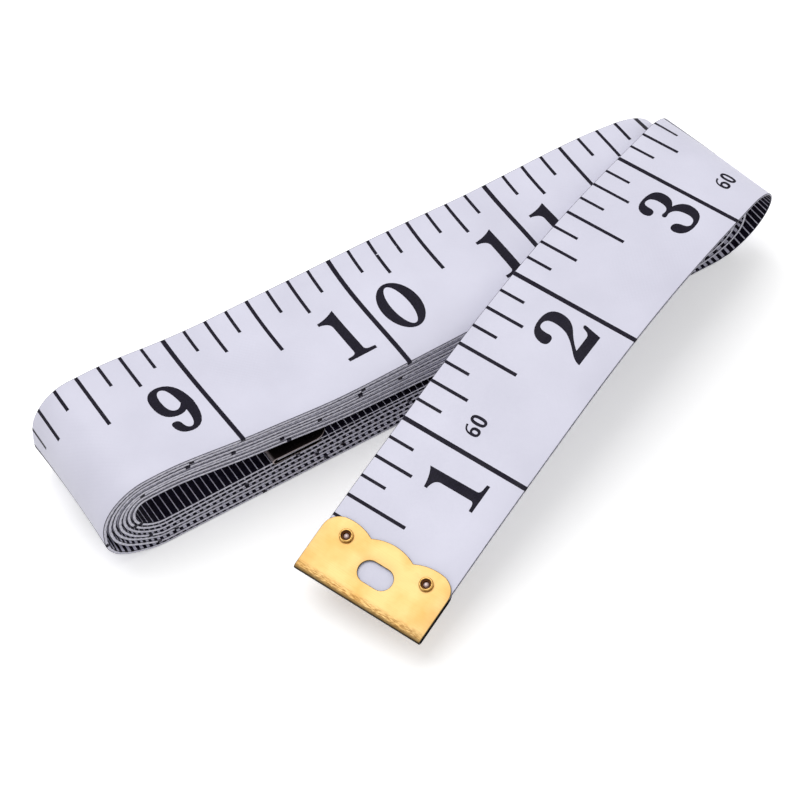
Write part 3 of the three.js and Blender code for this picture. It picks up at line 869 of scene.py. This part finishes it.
def inside(loops, x, y):
    """Whether a point lies in the filled part, counting the outlines to its left."""
    crossings = 0
    for loop in loops:
        for (x1, y1), (x2, y2) in zip(loop, loop[1:] + loop[:1]):
            if (y1 > y) != (y2 > y) and x > x1 + (y - y1) * (x2 - x1) / (y2 - y1):
                crossings += 1
    return crossings % 2 == 1


def filled(loops, bend_lines=None):
    """Corners and triangles that fill the outlines, cut where they bend.

    The cuts are a fine grid, or only lines across the outlines where bend_lines gives their places.
    """
    corners = []
    edges = []
    for loop in loops:
        first = len(corners)
        corners += loop
        edges += [(first + number, first + (number + 1) % len(loop)) for number in range(len(loop))]
    low_x, high_x = min(x for x, y in corners), max(x for x, y in corners)
    low_y, high_y = min(y for x, y in corners), max(y for x, y in corners)
    upright, level = bend_lines, []
    if bend_lines is None:
        upright = [low_x + number * INK_STEP for number in range(1, int((high_x - low_x) / INK_STEP) + 1)]
        level = [low_y + number * INK_STEP for number in range(1, int((high_y - low_y) / INK_STEP) + 1)]
    for x in upright:
        edges.append((len(corners), len(corners) + 1))
        corners += [(x, low_y - INK_STEP), (x, high_y + INK_STEP)]
    for y in level:
        edges.append((len(corners), len(corners) + 1))
        corners += [(low_x - INK_STEP, y), (high_x + INK_STEP, y)]
    scaled = [Vector((x / MM, y / MM)) for x, y in corners]
    points, _, faces, _, _, _ = delaunay_2d_cdt(scaled, edges, [], 0, MERGE_DISTANCE)
    kept = []
    for face in faces:
        x = sum(points[number].x for number in face) / 3 * MM
        y = sum(points[number].y for number in face) / 3 * MM
        if inside(loops, x, y):
            kept.append(tuple(face))
    used = sorted({number for face in kept for number in face})
    place_of = {number: place_number for place_number, number in enumerate(used)}
    places = [(points[number].x * MM, points[number].y * MM) for number in used]
    return places, [tuple(place_of[number] for number in face) for face in kept]


def edge_girths(first, last, thickness):
    """Stations from one girth to another, close together round the corners."""
    bends = [EDGE_ROUND]
    for start in (TAPE_WIDTH - EDGE_ROUND, plain_girth(thickness) - CORNER_GIRTH):
        bends += [start, start + CORNER_GIRTH / 2, start + CORNER_GIRTH]
    stops = [first] + [girth for girth in bends if first < girth < last] + [last]
    girths = []
    for start, end in zip(stops, stops[1:]):
        girths += spread(start, end, 2 * INK_STEP)[:-1]
    return girths + [last]


def printed_at(run):
    """The run at which the scale's mark for a run stands. It starts a little short of its true place."""
    return run - SCALE_SHIFT * (1 - smooth_step((run - SCALE_SHIFT_FROM) / SCALE_SHIFT_LENGTH))


def marks_between(pitch, first_run, last_run):
    """The number and the run of each mark between two runs that is clear of the tape's ends."""
    for number in range(math.ceil(first_run / pitch), math.floor(last_run / pitch) + 1):
        if PRINT_MARGIN < number * pitch < TAPE_LENGTH - PRINT_MARGIN:
            yield number, number * pitch


def print_marks(ink, first_run, last_run):
    """The eighths of an inch on the printed side, and the bars on the plain side, between two runs."""
    for number, run in marks_between(INCH / 8, first_run, last_run):
        thickness = thickness_at(run)
        if number % 8 == 0:
            length, width = TAPE_WIDTH + thickness * INCH_LINE_EDGE_SHARE, INCH_LINE_WIDTH
        elif number % 4 == 0:
            length, width = HALF_TICK
        elif number % 2 == 0:
            length, width = QUARTER_TICK
        else:
            length, width = EIGHTH_TICK
        ink.bar(printed_at(run), width, edge_girths(PRINT_START, length, thickness))
    for _, run in marks_between(BACK_PITCH, first_run, last_run):
        thickness = thickness_at(run)
        plain = plain_girth(thickness)
        width = float(np.interp((run - RUN_TO_COIL) / MM, BAR_RUNS, BAR_WIDTHS)) * MM
        ink.bar(run, width, edge_girths(plain - BACK_BAR_WRAP, plain + BACK_BAR_LENGTH, thickness))


def print_number(ink, number):
    """The first digit stands before the inch line, and a second one behind it."""
    for digit, aside in zip(str(number), (-DIGIT_ASIDE, DIGIT_ASIDE)):
        loops = digit_loops(digit)
        width = max(x for x, y in loops[0]) * DIGIT_HEIGHT
        ink.shape(loops, printed_at(number * INCH) + aside - width / 2, DIGIT_TOP, DIGIT_HEIGHT)


def print_legend(ink, run, top):
    """The small figures beside the scale, from a run and a distance from the printed edge."""
    for digit in LEGEND:
        loops = [outline_points(outline) for outline in LEGEND_SHARES[digit]]
        ink.shape(loops, run, top, LEGEND_HEIGHT)
        run += max(x for x, y in loops[0]) * LEGEND_HEIGHT + LEGEND_SPACE


def clip_loops():
    """The blank's outline and holes, unfolded: x from the middle of the fold, y across the tape."""
    lobe_top = CLIP_VALLEY_LENGTH + CLIP_LOBE_HEIGHT
    valley = CLIP_HALF_WIDTH / CLIP_LOBES
    radius = (valley**2 + CLIP_LOBE_HEIGHT**2) / (2 * CLIP_LOBE_HEIGHT)
    half_angle = math.asin(valley / radius)
    shoulder = CLIP_HALF_WIDTH - CLIP_SHOULDER
    shoulder_angle = math.asin((shoulder - 2 * valley) / radius)
    centre = lobe_top - radius
    edge = [(CLIP_SIDE_LENGTH, -CLIP_HALF_WIDTH), bend(CLIP_VALLEY_LENGTH, -CLIP_HALF_WIDTH)]
    edge += arc(centre, -2 * valley, radius, -shoulder_angle, half_angle, CLIP_ARC_STEPS)
    edge += arc(centre, 0, radius, -half_angle, half_angle, CLIP_ARC_STEPS)[1:]
    edge += arc(centre, 2 * valley, radius, -half_angle, shoulder_angle, CLIP_ARC_STEPS)[1:]
    edge += [bend(CLIP_VALLEY_LENGTH, CLIP_HALF_WIDTH), (CLIP_SIDE_LENGTH, CLIP_HALF_WIDTH)]
    edge = [(x - CLIP_UNFOLDED, y) for x, y in outline_points(edge)]
    loops = [edge + [(-x, -y) for x, y in edge]]
    reach = (SLOT_LENGTH - SLOT_WIDTH) / 2
    slot_middle = SLOT_FROM_FOLD - CLIP_UNFOLDED
    slot = arc(slot_middle, reach, SLOT_WIDTH / 2, 0, HALF_TURN, CLIP_ARC_STEPS)
    slot += arc(slot_middle, -reach, SLOT_WIDTH / 2, HALF_TURN, 2 * HALF_TURN, CLIP_ARC_STEPS)
    for side in (-1, 1):
        loops.append([(side * x, y) for x, y in slot])
        for aside in (-RIVET_ASIDE, RIVET_ASIDE):
            middle = side * (RIVET_FROM_FOLD - CLIP_UNFOLDED)
            hole = arc(middle, aside, RIVET_HOLE_RADIUS, 0, 2 * HALF_TURN, 2 * CLIP_ARC_STEPS)
            loops.append(hole[:-1])
    return loops


def folded(x, y, out):
    """A point of the blank in the clip's frame, this far out from the middle of the sheet."""
    radius = CLIP_MIDDLE + out
    if abs(x) < CLIP_FOLD_REACH:
        angle = x / CLIP_MIDDLE
        return Vector((CLIP_HALF_THICKNESS - radius * math.cos(angle), y, radius * math.sin(angle)))
    return Vector((CLIP_HALF_THICKNESS + abs(x) - CLIP_FOLD_REACH, y, math.copysign(radius, x)))


def clip_mesh(name, material):
    """The folded brass sheet, with its cut edges rounded."""
    steps = range(-CLIP_FOLD_STEPS, CLIP_FOLD_STEPS + 1)
    places, triangles = filled(clip_loops(), [CLIP_FOLD_REACH * step / CLIP_FOLD_STEPS for step in steps])
    after = dict(border_of(triangles))
    before = {end: start for start, end in after.items()}
    half = CLIP_SHEET / 2
    rings = arc(CLIP_RIM_ROUND, half - CLIP_RIM_ROUND, CLIP_RIM_ROUND, QUARTER_TURN, HALF_TURN, RIM_STEPS)
    rings += [(inset, -out) for inset, out in reversed(rings)]
    inward = {}
    for number, (x, y) in enumerate(places):
        if number in after:
            previous, following = places[before[number]], places[after[number]]
            first = Vector((x - previous[0], y - previous[1])).normalized()
            second = Vector((following[0] - x, following[1] - y)).normalized()
            normal = Vector((-first.y - second.y, first.x + second.x))
            inward[number] = normal * (2 / max(normal.length_squared, SHARPEST_CORNER))
    top = []
    for number, (x, y) in enumerate(places):
        inset = inward.get(number, Vector((0, 0))) * CLIP_RIM_ROUND
        top.append((x + inset.x, y + inset.y))
    points = [folded(x, y, half) for x, y in top]
    points += [folded(x, y, -half) for x, y in top]
    count = len(places)
    faces = [tuple(face) for face in triangles]
    faces += [tuple(count + number for number in reversed(face)) for face in triangles]
    rows = {}
    for number, direction in inward.items():
        x, y = places[number]
        first_new = len(points)
        for inset, out in rings[1:-1]:
            moved = direction * inset
            points.append(folded(x + moved.x, y + moved.y, out))
        rows[number] = [number, *range(first_new, len(points)), count + number]
    for start, end in after.items():
        for ring in range(len(rings) - 1):
            faces.append((rows[end][ring], rows[start][ring], rows[start][ring + 1], rows[end][ring + 1]))
    piece = new_object(name, points, faces, [material], SMOOTH_ANGLE)
    face_outwards(piece)
    return piece


def rivet_mesh(name, material):
    """A turned rivet with a rounded rim round its dimple."""
    seat = CLIP_HALF_THICKNESS + RIVET_SEAT_GAP
    top = seat + RIVET_HEAD_HEIGHT
    crown = (RIVET_HEAD_RADIUS + RIVET_DIMPLE_RADIUS) / 2
    half_crown = RIVET_HEAD_RADIUS - crown
    bottom = top - RIVET_DIMPLE_DEPTH
    profile = [(0, bottom + RIVET_BUTTON_HEIGHT)]
    for share, height in RIVET_BUTTON_SHARES:
        profile.append((RIVET_DIMPLE_RADIUS * share, bottom + RIVET_BUTTON_HEIGHT * height))
    profile += arc(crown, top - half_crown, half_crown, HALF_TURN, 0, CLIP_ARC_STEPS)
    profile += [(RIVET_HEAD_RADIUS, seat), (RIVET_SHANK_RADIUS, seat), (RIVET_SHANK_RADIUS, -seat)]
    bevel_radius = RIVET_TAIL_RADIUS * RIVET_BEVEL_SHARES[0]
    bevel_start = -seat - RIVET_TAIL_HEIGHT * RIVET_BEVEL_SHARES[1]
    profile += [(RIVET_TAIL_RADIUS, -seat), (RIVET_TAIL_RADIUS, bevel_start)]
    profile += [(bevel_radius, -seat - RIVET_TAIL_HEIGHT), (0, -seat - RIVET_TAIL_HEIGHT)]
    points = [(0, 0, profile[0][1]), (0, 0, profile[-1][1])]
    for radius, height in profile[1:-1]:
        points += [(x, y, height) for x, y in arc(0, 0, radius, 0, 2 * HALF_TURN, RIVET_SIDES)[:-1]]
    faces = []
    rounds = len(profile) - 2
    for step in range(RIVET_SIDES):
        beside = (step + 1) % RIVET_SIDES
        faces.append((0, 2 + step, 2 + beside))
        last = 2 + (rounds - 1) * RIVET_SIDES
        faces.append((1, last + beside, last + step))
        for number in range(rounds - 1):
            here = 2 + number * RIVET_SIDES
            after = here + RIVET_SIDES
            faces.append((here + step, after + step, after + beside, here + beside))
    piece = new_object(name, points, faces, [material], SMOOTH_ANGLE)
    face_outwards(piece)
    return piece


def feed(tree, node, inputs):
    """Gives a node's inputs, by name or number, their sockets or values."""
    for name, value in inputs.items():
        if isinstance(value, bpy.types.NodeSocket):
            tree.links.new(value, node.inputs[name])
        else:
            node.inputs[name].default_value = value


def new_node(tree, kind, inputs):
    """A node of a kind, with its inputs fed."""
    node = tree.nodes.new(kind)
    feed(tree, node, inputs)
    return node


def math_node(tree, operation, *values):
    """A Math node. Each value is a socket or a number."""
    node = tree.nodes.new("ShaderNodeMath")
    node.operation = operation
    feed(tree, node, dict(enumerate(values)))
    return node.outputs[0]


def new_group(name, kinds, masks):
    """A node group with inputs of these kinds, by name, and with number outputs."""
    group = bpy.data.node_groups.new(name, "ShaderNodeTree")
    for label, kind in kinds.items():
        group.interface.new_socket(name=label, in_out="INPUT", socket_type=kind)
    for label in masks:
        group.interface.new_socket(name=label, in_out="OUTPUT", socket_type="NodeSocketFloat")
    return group, group.nodes.new("NodeGroupInput"), group.nodes.new("NodeGroupOutput")


def weave_group():
    """Height of a plain weave over a flat layout in metres."""
    group, given, result = new_group("plain_weave", {"Layout": "NodeSocketVector"}, ["Height"])
    split = new_node(group, "ShaderNodeSeparateXYZ", {0: given.outputs["Layout"]})
    waves = []
    for axis in (0, 1):
        scaled = math_node(group, "MULTIPLY", split.outputs[axis], THREADS_PER_METRE)
        waves.append(math_node(group, "SINE", math_node(group, "MULTIPLY", scaled, 2 * HALF_TURN)))
    crossed = math_node(group, "MULTIPLY", *waves)
    feed(group, result, {"Height": math_node(group, "MULTIPLY_ADD", crossed, 0.5, 0.5)})
    return group


def mottle_group():
    """A soft cloudy mask, and a fine grain."""
    kinds = {
        "Place": "NodeSocketVector", "Cloud Scale": "NodeSocketFloat", "Grain Scale": "NodeSocketFloat",
    }
    group, given, result = new_group("cloudy_mottle", kinds, ["Clouds", "Grain"])
    for mask, scale, detail in (("Clouds", "Cloud Scale", 4.0), ("Grain", "Grain Scale", 2.0)):
        noise = new_node(group, "ShaderNodeTexNoise", {
            "Vector": given.outputs["Place"], "Scale": given.outputs[scale], "Detail": detail,
        })
        feed(group, result, {mask: noise.outputs["Fac"]})
    return group


def brushing_group():
    """Fine parallel scratches across the metal, scattered rubbed spots, and small specks."""
    group, given, result = new_group("fine_brushing", {"Place": "NodeSocketVector"}, BRUSHING_SCALES)
    for mask, scale in BRUSHING_SCALES.items():
        mapping = new_node(group, "ShaderNodeMapping", {"Vector": given.outputs["Place"], "Scale": scale})
        noise = new_node(group, "ShaderNodeTexNoise", {
            "Vector": mapping.outputs[0], "Scale": 1.0, "Detail": 3.0,
        })
        feed(group, result, {mask: noise.outputs["Fac"]})
    return group


weave = weave_group()
mottle = mottle_group()
brushing = brushing_group()


def new_material(name):
    material = bpy.data.materials.new(name)
    material.use_nodes = True
    tree = material.node_tree
    return material, tree, tree.nodes["Principled BSDF"]


def group_node(tree, group, *values):
    """A group's node, with its inputs in their order."""
    node = tree.nodes.new("ShaderNodeGroup")
    node.node_tree = group
    feed(tree, node, dict(enumerate(values)))
    return node


def ramp(tree, value, stops):
    """The colour between two stops, each a place and a colour, at a value."""
    node = new_node(tree, "ShaderNodeValToRGB", {"Fac": value})
    for element, (place_at, colour) in zip(node.color_ramp.elements, stops):
        element.position = place_at
        element.color = colour
    return node.outputs["Color"]


def grey_ramp(tree, value, stops):
    return ramp(tree, value, [(place_at, (level, level, level, 1)) for place_at, level in stops])


def bump(tree, height, distance, strength):
    inputs = {"Distance": distance, "Strength": strength, "Height": height}
    return new_node(tree, "ShaderNodeBump", inputs).outputs["Normal"]


def mixed(tree, share, first, second, blend="MIX"):
    """The first colour, and the second one as far as the share says."""
    node = tree.nodes.new("ShaderNodeMix")
    node.data_type = "RGBA"
    node.blend_type = blend
    feed(tree, node, {"Factor": share, 6: first, 7: second})
    return node.outputs[2]


def linear(red, green, blue):
    """A colour read off as 0 to 255, as the shader needs it."""
    levels = [level / 255 for level in (red, green, blue)]
    return (*(v / 12.92 if v <= 0.04045 else ((v + 0.055) / 1.055) ** 2.4 for v in levels), 1)


def fibre_material(name, scales, tinting, stops, roughness, specular, relief=0.0):
    """Cloth or ink: one mask tints it between two colours, and the other one roughens it."""
    material, tree, shader = new_material(name)
    coordinates = tree.nodes.new("ShaderNodeTexCoord")
    masks = group_node(tree, mottle, coordinates.outputs["Object"], *scales).outputs
    roughening = "Grain" if tinting == "Clouds" else "Clouds"
    feed(tree, shader, {
        "Base Color": ramp(tree, masks[tinting], stops),
        "Roughness": grey_ramp(tree, masks[roughening], [(0.3, roughness[0]), (0.7, roughness[1])]),
        "Specular IOR Level": specular,
    })
    if relief:
        woven = group_node(tree, weave, coordinates.outputs["UV"])
        feed(tree, shader, {"Normal": bump(tree, woven.outputs["Height"], WEAVE_DEPTH, relief)})
    return material


def brass_material(name, light, dark, turned_away_painted_light, roughness, band=0.0):
    """Brushed brass; turned-away faces take the colour given as painted light, inner faces painted shade.

    With a band, it is also darkened in specks by the fold.
    """
    material, tree, shader = new_material(name)
    coordinates = tree.nodes.new("ShaderNodeTexCoord")
    brushed = group_node(tree, brushing, coordinates.outputs["Object"]).outputs
    colour = ramp(tree, brushed["Rubbing"], [(0.35, dark), (0.6, light)])
    streaks = grey_ramp(tree, brushed["Scratches"], [(0.32, 0.84), (0.6, 1.0)])
    streaked = mixed(tree, 1.0, colour, streaks, "MULTIPLY")
    spot = new_node(tree, "ShaderNodeSeparateXYZ", {0: coordinates.outputs["Object"]}).outputs
    from_band = math_node(tree, "ABSOLUTE", math_node(tree, "SUBTRACT", spot[0], FOLD_BAND_PLACE))
    band_share = math_node(tree, "DIVIDE", from_band, FOLD_BAND_REACH)
    nearby = grey_ramp(tree, band_share, [(0.2, 1.0), (1.0, 0.0)])
    specks = grey_ramp(tree, brushed["Specks"], [(0.42, 1.0), (0.6, 0.0)])
    speckled = math_node(tree, "MULTIPLY", math_node(tree, "MULTIPLY", nearby, specks), band)
    worn = mixed(tree, speckled, streaked, linear(*SPECK_BROWN))
    # Painted light and shade: faces that turn away take the given colour, and the sheet's inner side
    # painted shade
    facing = new_node(tree, "ShaderNodeSeparateXYZ", {0: coordinates.outputs["Normal"]}).outputs
    turned = grey_ramp(tree, math_node(tree, "ABSOLUTE", facing[2]), [(0.55, 1.0), (0.98, 0.0)])
    inside = math_node(tree, "LESS_THAN", math_node(tree, "MULTIPLY", spot[2], facing[2]), 0)
    rough = [(0.3, roughness - 0.06), (0.7, roughness + 0.08)]
    feed(tree, shader, {
        "Base Color": mixed(tree, inside, mixed(tree, turned, worn, turned_away_painted_light), linear(*BRASS_PAINTED_SHADE)),
        "Metallic": 1.0,
        "Roughness": grey_ramp(tree, brushed["Scratches"], rough),
        "Normal": bump(tree, brushed["Scratches"], BRUSHING_DEPTH, 0.3),
    })
    return material


def rivet_material():
    """A brass rivet: gold round its rim, painted shade in its dimple and a painted glint in its middle.
    """
    material, tree, shader = new_material("rivet_brass")
    coordinates = tree.nodes.new("ShaderNodeTexCoord")
    brushed = group_node(tree, brushing, coordinates.outputs["Object"]).outputs
    gold = ramp(tree, brushed["Specks"], [(0.35, linear(146, 108, 50)), (0.6, linear(214, 174, 106))])
    outwards = tree.nodes.new("ShaderNodeVectorMath")
    outwards.operation = "MULTIPLY"
    feed(tree, outwards, {0: coordinates.outputs["Object"], 1: (1 / MM, 1 / MM, 0)})
    length = tree.nodes.new("ShaderNodeVectorMath")
    length.operation = "LENGTH"
    feed(tree, length, {0: outwards.outputs["Vector"]})
    radius = length.outputs["Value"]
    # Painted glint in the pale middle, and painted shade in the dimple round it
    glint_share = grey_ramp(tree, radius, [(RIVET_GLINT[0], 1.0), (RIVET_GLINT[1], 0.0)])
    ring = grey_ramp(tree, radius, [(RIVET_RING[0], 0.0), (RIVET_RING[1], 1.0)])
    dimple = mixed(tree, glint_share, linear(84, 50, 24), linear(222, 198, 194))
    feed(tree, shader, {
        "Base Color": mixed(tree, ring, dimple, gold),
        "Metallic": grey_ramp(tree, radius, [(RIVET_GLINT[0], 0.2), (RIVET_GLINT[1], 1.0)]),
        "Roughness": grey_ramp(tree, brushed["Rubbing"], [(0.3, 0.18), (0.7, 0.3)]),
        "Normal": bump(tree, brushed["Specks"], BRUSHING_DEPTH, 0.3),
    })
    return material


def seen_directly(tree):
    """One where the camera sees a surface, also in a mirror or through glass."""
    path = tree.nodes.new("ShaderNodeLightPath")
    seen = math_node(tree, "MAXIMUM", path.outputs["Is Camera Ray"], path.outputs["Is Glossy Ray"])
    return math_node(tree, "MAXIMUM", seen, path.outputs["Is Transmission Ray"])


def floor_material():
    material, tree, shader = new_material("white_floor")
    seen = seen_directly(tree)
    feed(tree, shader, {
        "Base Color": grey_ramp(tree, seen, [(0, FLOOR_BOUNCE), (1, FLOOR_SEEN)]),
        "Roughness": 0.9,
        "Specular IOR Level": 0.1,
        "Emission Color": (1, 1, 1, 1),
        "Emission Strength": math_node(tree, "MULTIPLY", seen, FLOOR_GLOW),
    })
    return material


def make_floor(material):
    corners = ((-1, -1), (1, -1), (1, 1), (-1, 1))
    points = [(x * FLOOR_REACH, y * FLOOR_REACH, FLOOR_LEVEL) for x, y in corners]
    floor = new_object("floor", points, [(0, 1, 2, 3)], [material])


def make_light():
    world = bpy.data.worlds.new("soft_room")
    bpy.context.scene.world = world
    world.use_nodes = True
    tree = world.node_tree
    strength = math_node(tree, "MULTIPLY_ADD", seen_directly(tree), 1 - ROOM_LIGHT, ROOM_LIGHT)
    feed(tree, tree.nodes["Background"], {"Color": (1, 1, 1, 1), "Strength": strength})
    for name, place_at, size, power in LAMPS:
        light = bpy.data.lights.new(name, "AREA")
        light.size = size
        light.energy = power
        lamp = bpy.data.objects.new(name, light)
        bpy.context.scene.collection.objects.link(lamp)
        lamp.location = place_at
        towards = Vector(LAMPS_AIM) - Vector(place_at)
        lamp.rotation_euler = towards.to_track_quat("-Z", "Y").to_euler()


def make_camera():
    """The camera, turned by its azimuth, elevation and roll, looks at its target from its distance."""
    level = math.cos(CAMERA_ELEVATION)
    look = Vector((
        math.sin(CAMERA_AZIMUTH) * level, math.cos(CAMERA_AZIMUTH) * level, -math.sin(CAMERA_ELEVATION),
    ))
    right = Vector((math.cos(CAMERA_AZIMUTH), -math.sin(CAMERA_AZIMUTH), 0))
    up = right.cross(look)
    turned_right = right * math.cos(CAMERA_ROLL) + up * math.sin(CAMERA_ROLL)
    turned_up = up * math.cos(CAMERA_ROLL) - right * math.sin(CAMERA_ROLL)
    data = bpy.data.cameras.new("camera")
    data.lens = CAMERA_LENS
    data.sensor_width = CAMERA_SENSOR
    data.clip_start = CAMERA_CLIP_START
    camera = bpy.data.objects.new("camera", data)
    bpy.context.scene.collection.objects.link(camera)
    turning = Matrix((turned_right, turned_up, -look)).transposed().to_4x4()
    camera.matrix_world = Matrix.Translation(Vector(CAMERA_TARGET) - look * CAMERA_DISTANCE) @ turning
    bpy.context.scene.camera = camera


shift = Vector(PART_SHIFT)
curl_foot += shift
for walker in (coil_walker, free_walker):
    walker.stretches = [(s[0], s[1] + shift, *s[2:]) for s in walker.stretches]

# The cloth's faces, its cut edges, and their corners darkened with painted shade of the gaps between
# layers
cloth_looks = [
    fibre_material(
        "coated_cloth", (90, 2500), "Clouds",
        [(0.3, linear(212, 211, 227)), (0.7, linear(222, 221, 237))], (0.42, 0.55), 0.5, 0.25,
    ),
    fibre_material(
        "cut_cloth_edge", (260, 2600), "Grain",
        [(0.3, linear(192, 191, 205)), (0.7, linear(230, 229, 241))], (0.85, 0.85), 0.2, 0.2,
    ),
    # Painted shade on the corners of the cut edges, where the layers meet
    fibre_material(
        "painted_shade_rim", (260, 2000), "Grain",
        [(0.3, linear(70, 68, 80)), (0.7, linear(104, 102, 115))], (0.9, 0.9), 0.1,
    ),
]
ink = fibre_material(
    "printed_ink", (400, 5000), "Grain",
    [(0.35, linear(9, 6, 20)), (0.75, linear(30, 25, 44))], (0.4, 0.6), 0.12,
)
# The outer clip: its rims and sides that turn away take painted shade
clip_brass = brass_material(
    "brushed_brass", linear(198, 165, 110), linear(188, 148, 88), linear(*BRASS_PAINTED_SHADE), 0.38, band=0.85,
)
# The clip inside the coil: brass painted dark for the shade of the hollow, with painted light on the rims
# that turn away
painted_shade_brass = brass_material(
    "painted_shade_brass", linear(38, 31, 31), linear(24, 20, 21), linear(168, 157, 157), 0.5,
)
rivet_brass = rivet_material()

coil_tape = tape_piece("coil_tape", coil_rows(), COIL_FLAT_STEPS, cloth_looks)
free_end_tape = tape_piece("free_end_tape", free_rows(), FREE_FLAT_STEPS, cloth_looks)
tip_tape = tape_piece("tip_tape", tip_rows(), FREE_FLAT_STEPS, cloth_looks)

films = {"coil": Ink(), "free_end": Ink(), "tip": Ink()}
print_marks(films["coil"], RUN_TO_COIL + FOOT_MARGIN, TAPE_LENGTH)
print_marks(films["free_end"], TIP_RUN, RUN_TO_COIL + FOOT_MARGIN - PRINT_GAP)
print_marks(films["tip"], 0, TIP_RUN - PRINT_GAP)
for number in NUMBERS:
    end = number * INCH
    owner = "tip" if end <= TIP_RUN else "free_end" if end < RUN_TO_COIL + FOOT_MARGIN else "coil"
    print_number(films[owner], number)
for run, top in LEGEND_PLACES:
    print_legend(films["tip" if run < TIP_RUN else "free_end"], run, top)
coil_print = films["coil"].piece("coil_print", ink)
free_end_print = films["free_end"].piece("free_end_print", ink)
tip_print = films["tip"].piece("tip_print", ink)


for piece in (coil_tape, coil_print):
    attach(piece, "coil")
for piece in (free_end_tape, free_end_print):
    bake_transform(piece)
for piece in (tip_tape, tip_print):
    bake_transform(piece)
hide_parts("tape_coil")
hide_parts("tape_free_end")
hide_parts("tape_tip")


def clip_frame(walker, left, left_sign):
    """The frame of a clip at a walk's end: x into the tape, y across it, z out of its printed side."""
    axes = (-walker.heading, left * left_sign, walker.printed)
    return Matrix.Translation(walker.position + shift) @ Matrix(axes).transposed().to_4x4()


sag_tilt = math.atan(SAG_SLOPE * free_walker.printed.z)
front_frame = clip_frame(free_walker, free_left, 1) @ Matrix.Rotation(sag_tilt, 4, "Y")
front_frame @= Matrix.Translation((CLIP_SET_IN, 0, 0))
back_frame = Matrix.Translation((0, 0, -TAIL_DROP)) @ clip_frame(coil_walker, FAR, -1)
for name, body, placed, metal in (
    ("front", "tip", front_frame, clip_brass),
    ("back", "coil", back_frame, painted_shade_brass),
):
    clip = clip_mesh(f"{name}_clip_brass", metal)
    clip.matrix_world = placed
    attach(clip, body)
    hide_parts(f"{name}_clip")
    for label, side in (("left", 1), ("right", -1)):
        rivet = rivet_mesh(f"{name}_rivet_{label}_brass", rivet_brass)
        rivet.matrix_world = placed @ Matrix.Translation((RIVET_FROM_FOLD, side * RIVET_ASIDE, 0))
        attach(rivet, body)
        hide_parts(f"{name}_rivet_{label}")

make_floor(floor_material())
make_light()
make_camera()
bpy.context.scene.view_settings.view_transform = "Standard"
